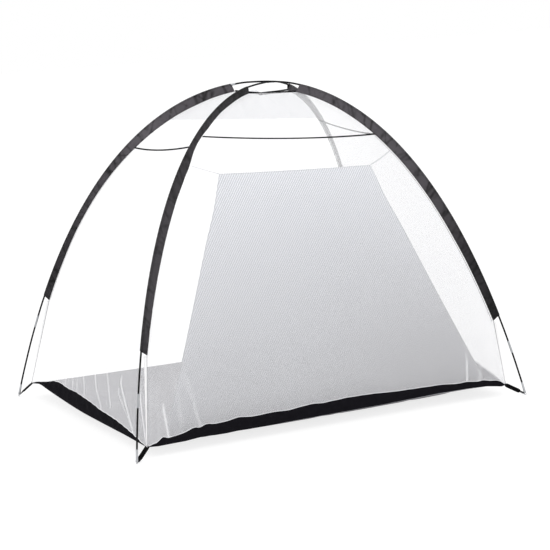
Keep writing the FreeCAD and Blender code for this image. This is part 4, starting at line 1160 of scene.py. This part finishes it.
def make_tie(name, top, corner):
    """Smooth curve from the panel's corner to the seam, hanging by a few millimetres, with a
    hitch of two turns round it by the panel. The left tie has a second strand below the first."""
    seam = seam_at(corner, np.linspace(*sleeve_span(corner), 2000))
    end = seam[np.argmin(np.abs(seam[:, 2] - TIE_Z[corner]))]
    way, back = unit(end - top), np.array([0, TIE_BACK, 0])
    start, end = top + way * 0.0006 - back, end - way * 0.006 - back
    k = np.linspace(0, 1, 6)[:, None]
    route = start * (1 - k) + end * k - UP * TIE_SAG * bow(k)
    tie = cord_curve(name + "_cord", route, TIE_D / 2)
    side = unit(np.cross(way, UP))
    high = np.cross(side, way)
    turn = np.linspace(0, 4 * math.pi, 33)[:, None]
    hitch = (start + way * (0.004 + turn * HITCH_STEP)
             + HITCH_R * (np.cos(turn) * side + np.sin(turn) * high))
    extras = [cord_curve(name + "_hitch", hitch, HITCH_WIRE)]
    if corner == "rear_left":
        second = route - UP * SECOND_SAG * np.clip(bow(k) * 2.2, 0, 1)
        extras.append(cord_curve(name + "_second_strand", second, STRAND_R))
    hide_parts(name)


make_tie("panel_tie_right", PANEL_TOP_RIGHT, "rear_right")
make_tie("panel_tie_left", PANEL_TOP_LEFT, "rear_left")


# Corner straps.
# Black webbing is folded round each corner ring, and both layers are sewn together up to
# the net corner.
EYE_R, EYE_WIRE, RING_R, RING_WIRE, LINK_GAP = 0.0044, 0.0024, 0.0110, 0.0022, 0.0002
STRAP_W, STRAP_LAYER, STRAP_SLACK, STRAP_SEWN, STRAP_NECK = 0.0198, 0.0012, 0.0038, 0.0070, 0.006
STRAP_TURN = {"front_right": math.radians(-24.0), "rear_right": math.radians(36.0),
              "rear_left": math.radians(84.0), "front_left": 0.0}
TURN_FROM_RING, TURN_FROM_NET = 0.16, 0.20
WEBBING = woven("black webbing", tone(6, 6, 7), tone(16, 15, 17), 0.0022, relief=0.9, gloss=0.08)


def strap_line(tail):
    """Side view of the ribbon as distances past the ring's bar and heights: down one layer,
    opening round the ring, about its nose, and back up the other layer."""
    nose = -(RING_R + STRAP_SLACK)
    shut, swell = STRAP_LAYER / 2, RING_WIRE / 2 + 0.0004 + STRAP_LAYER / 2
    opening = (1 - np.cos(np.linspace(0, math.pi, 8)[1:])) / 2
    x = np.concatenate([np.linspace(tail, STRAP_NECK, 22), np.linspace(STRAP_NECK, 0.0, 8)[1:],
                        np.linspace(0.0, nose, 7)[1:]])
    z = np.concatenate([np.full(22, shut), shut + (swell - shut) * opening, np.full(6, swell)])
    turn = np.linspace(0, math.pi, 9)[1:-1]
    return (np.concatenate([x, nose - swell * np.sin(turn), x[::-1]])[:, None],
            np.concatenate([-z, -swell * np.cos(turn), z[::-1]])[:, None], nose)


def make_strap(corner):
    """Ribbon through the ring, narrower at its nose, and turned over between its ends by its own
    angle, which a quarter sine builds up from each end."""
    way = leg_at(corner, 0.030, "way")
    eye = FEET[corner] + way * ((EYE_R + EYE_WIRE / 2) / way[2])
    toward = unit(net_corner(corner) - eye)
    side = unit(np.cross(way, toward))
    normal = np.cross(toward, side)
    bar = eye + toward * (EYE_R - EYE_WIRE / 2 - RING_WIRE / 2 - LINK_GAP + 2 * RING_R)
    tail = np.linalg.norm(net_corner(corner) - bar) + STRAP_SEWN
    x, z, nose = strap_line(tail)
    half = STRAP_W / 2 * (1 - 0.30 * np.clip((nose + 0.008 - x) / 0.010, 0, 1) ** 2)
    y = np.linspace(-1, 1, 13)[None, :] * half
    share = np.clip(x / tail, 0, 1)
    built = np.clip(np.minimum(share / TURN_FROM_RING, (1 - share) / TURN_FROM_NET), 0, 1)
    turn = STRAP_TURN[corner] * np.sin(math.pi / 2 * built)
    wide, deep = y * np.cos(turn) - z * np.sin(turn), y * np.sin(turn) + z * np.cos(turn)
    points = bar + x[..., None] * toward + wide[..., None] * side + deep[..., None] * normal
    strap = cloth("strap_" + corner, points, WEBBING, STRAP_LAYER * 0.96)
    soften = strap.modifiers.new("soft edges", "BEVEL")
    soften.width, soften.segments, soften.limit_method = 0.0003, 2, "ANGLE"
    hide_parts("corner_strap_" + corner)
    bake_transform(strap)


for corner in CORNERS:
    make_strap(corner)
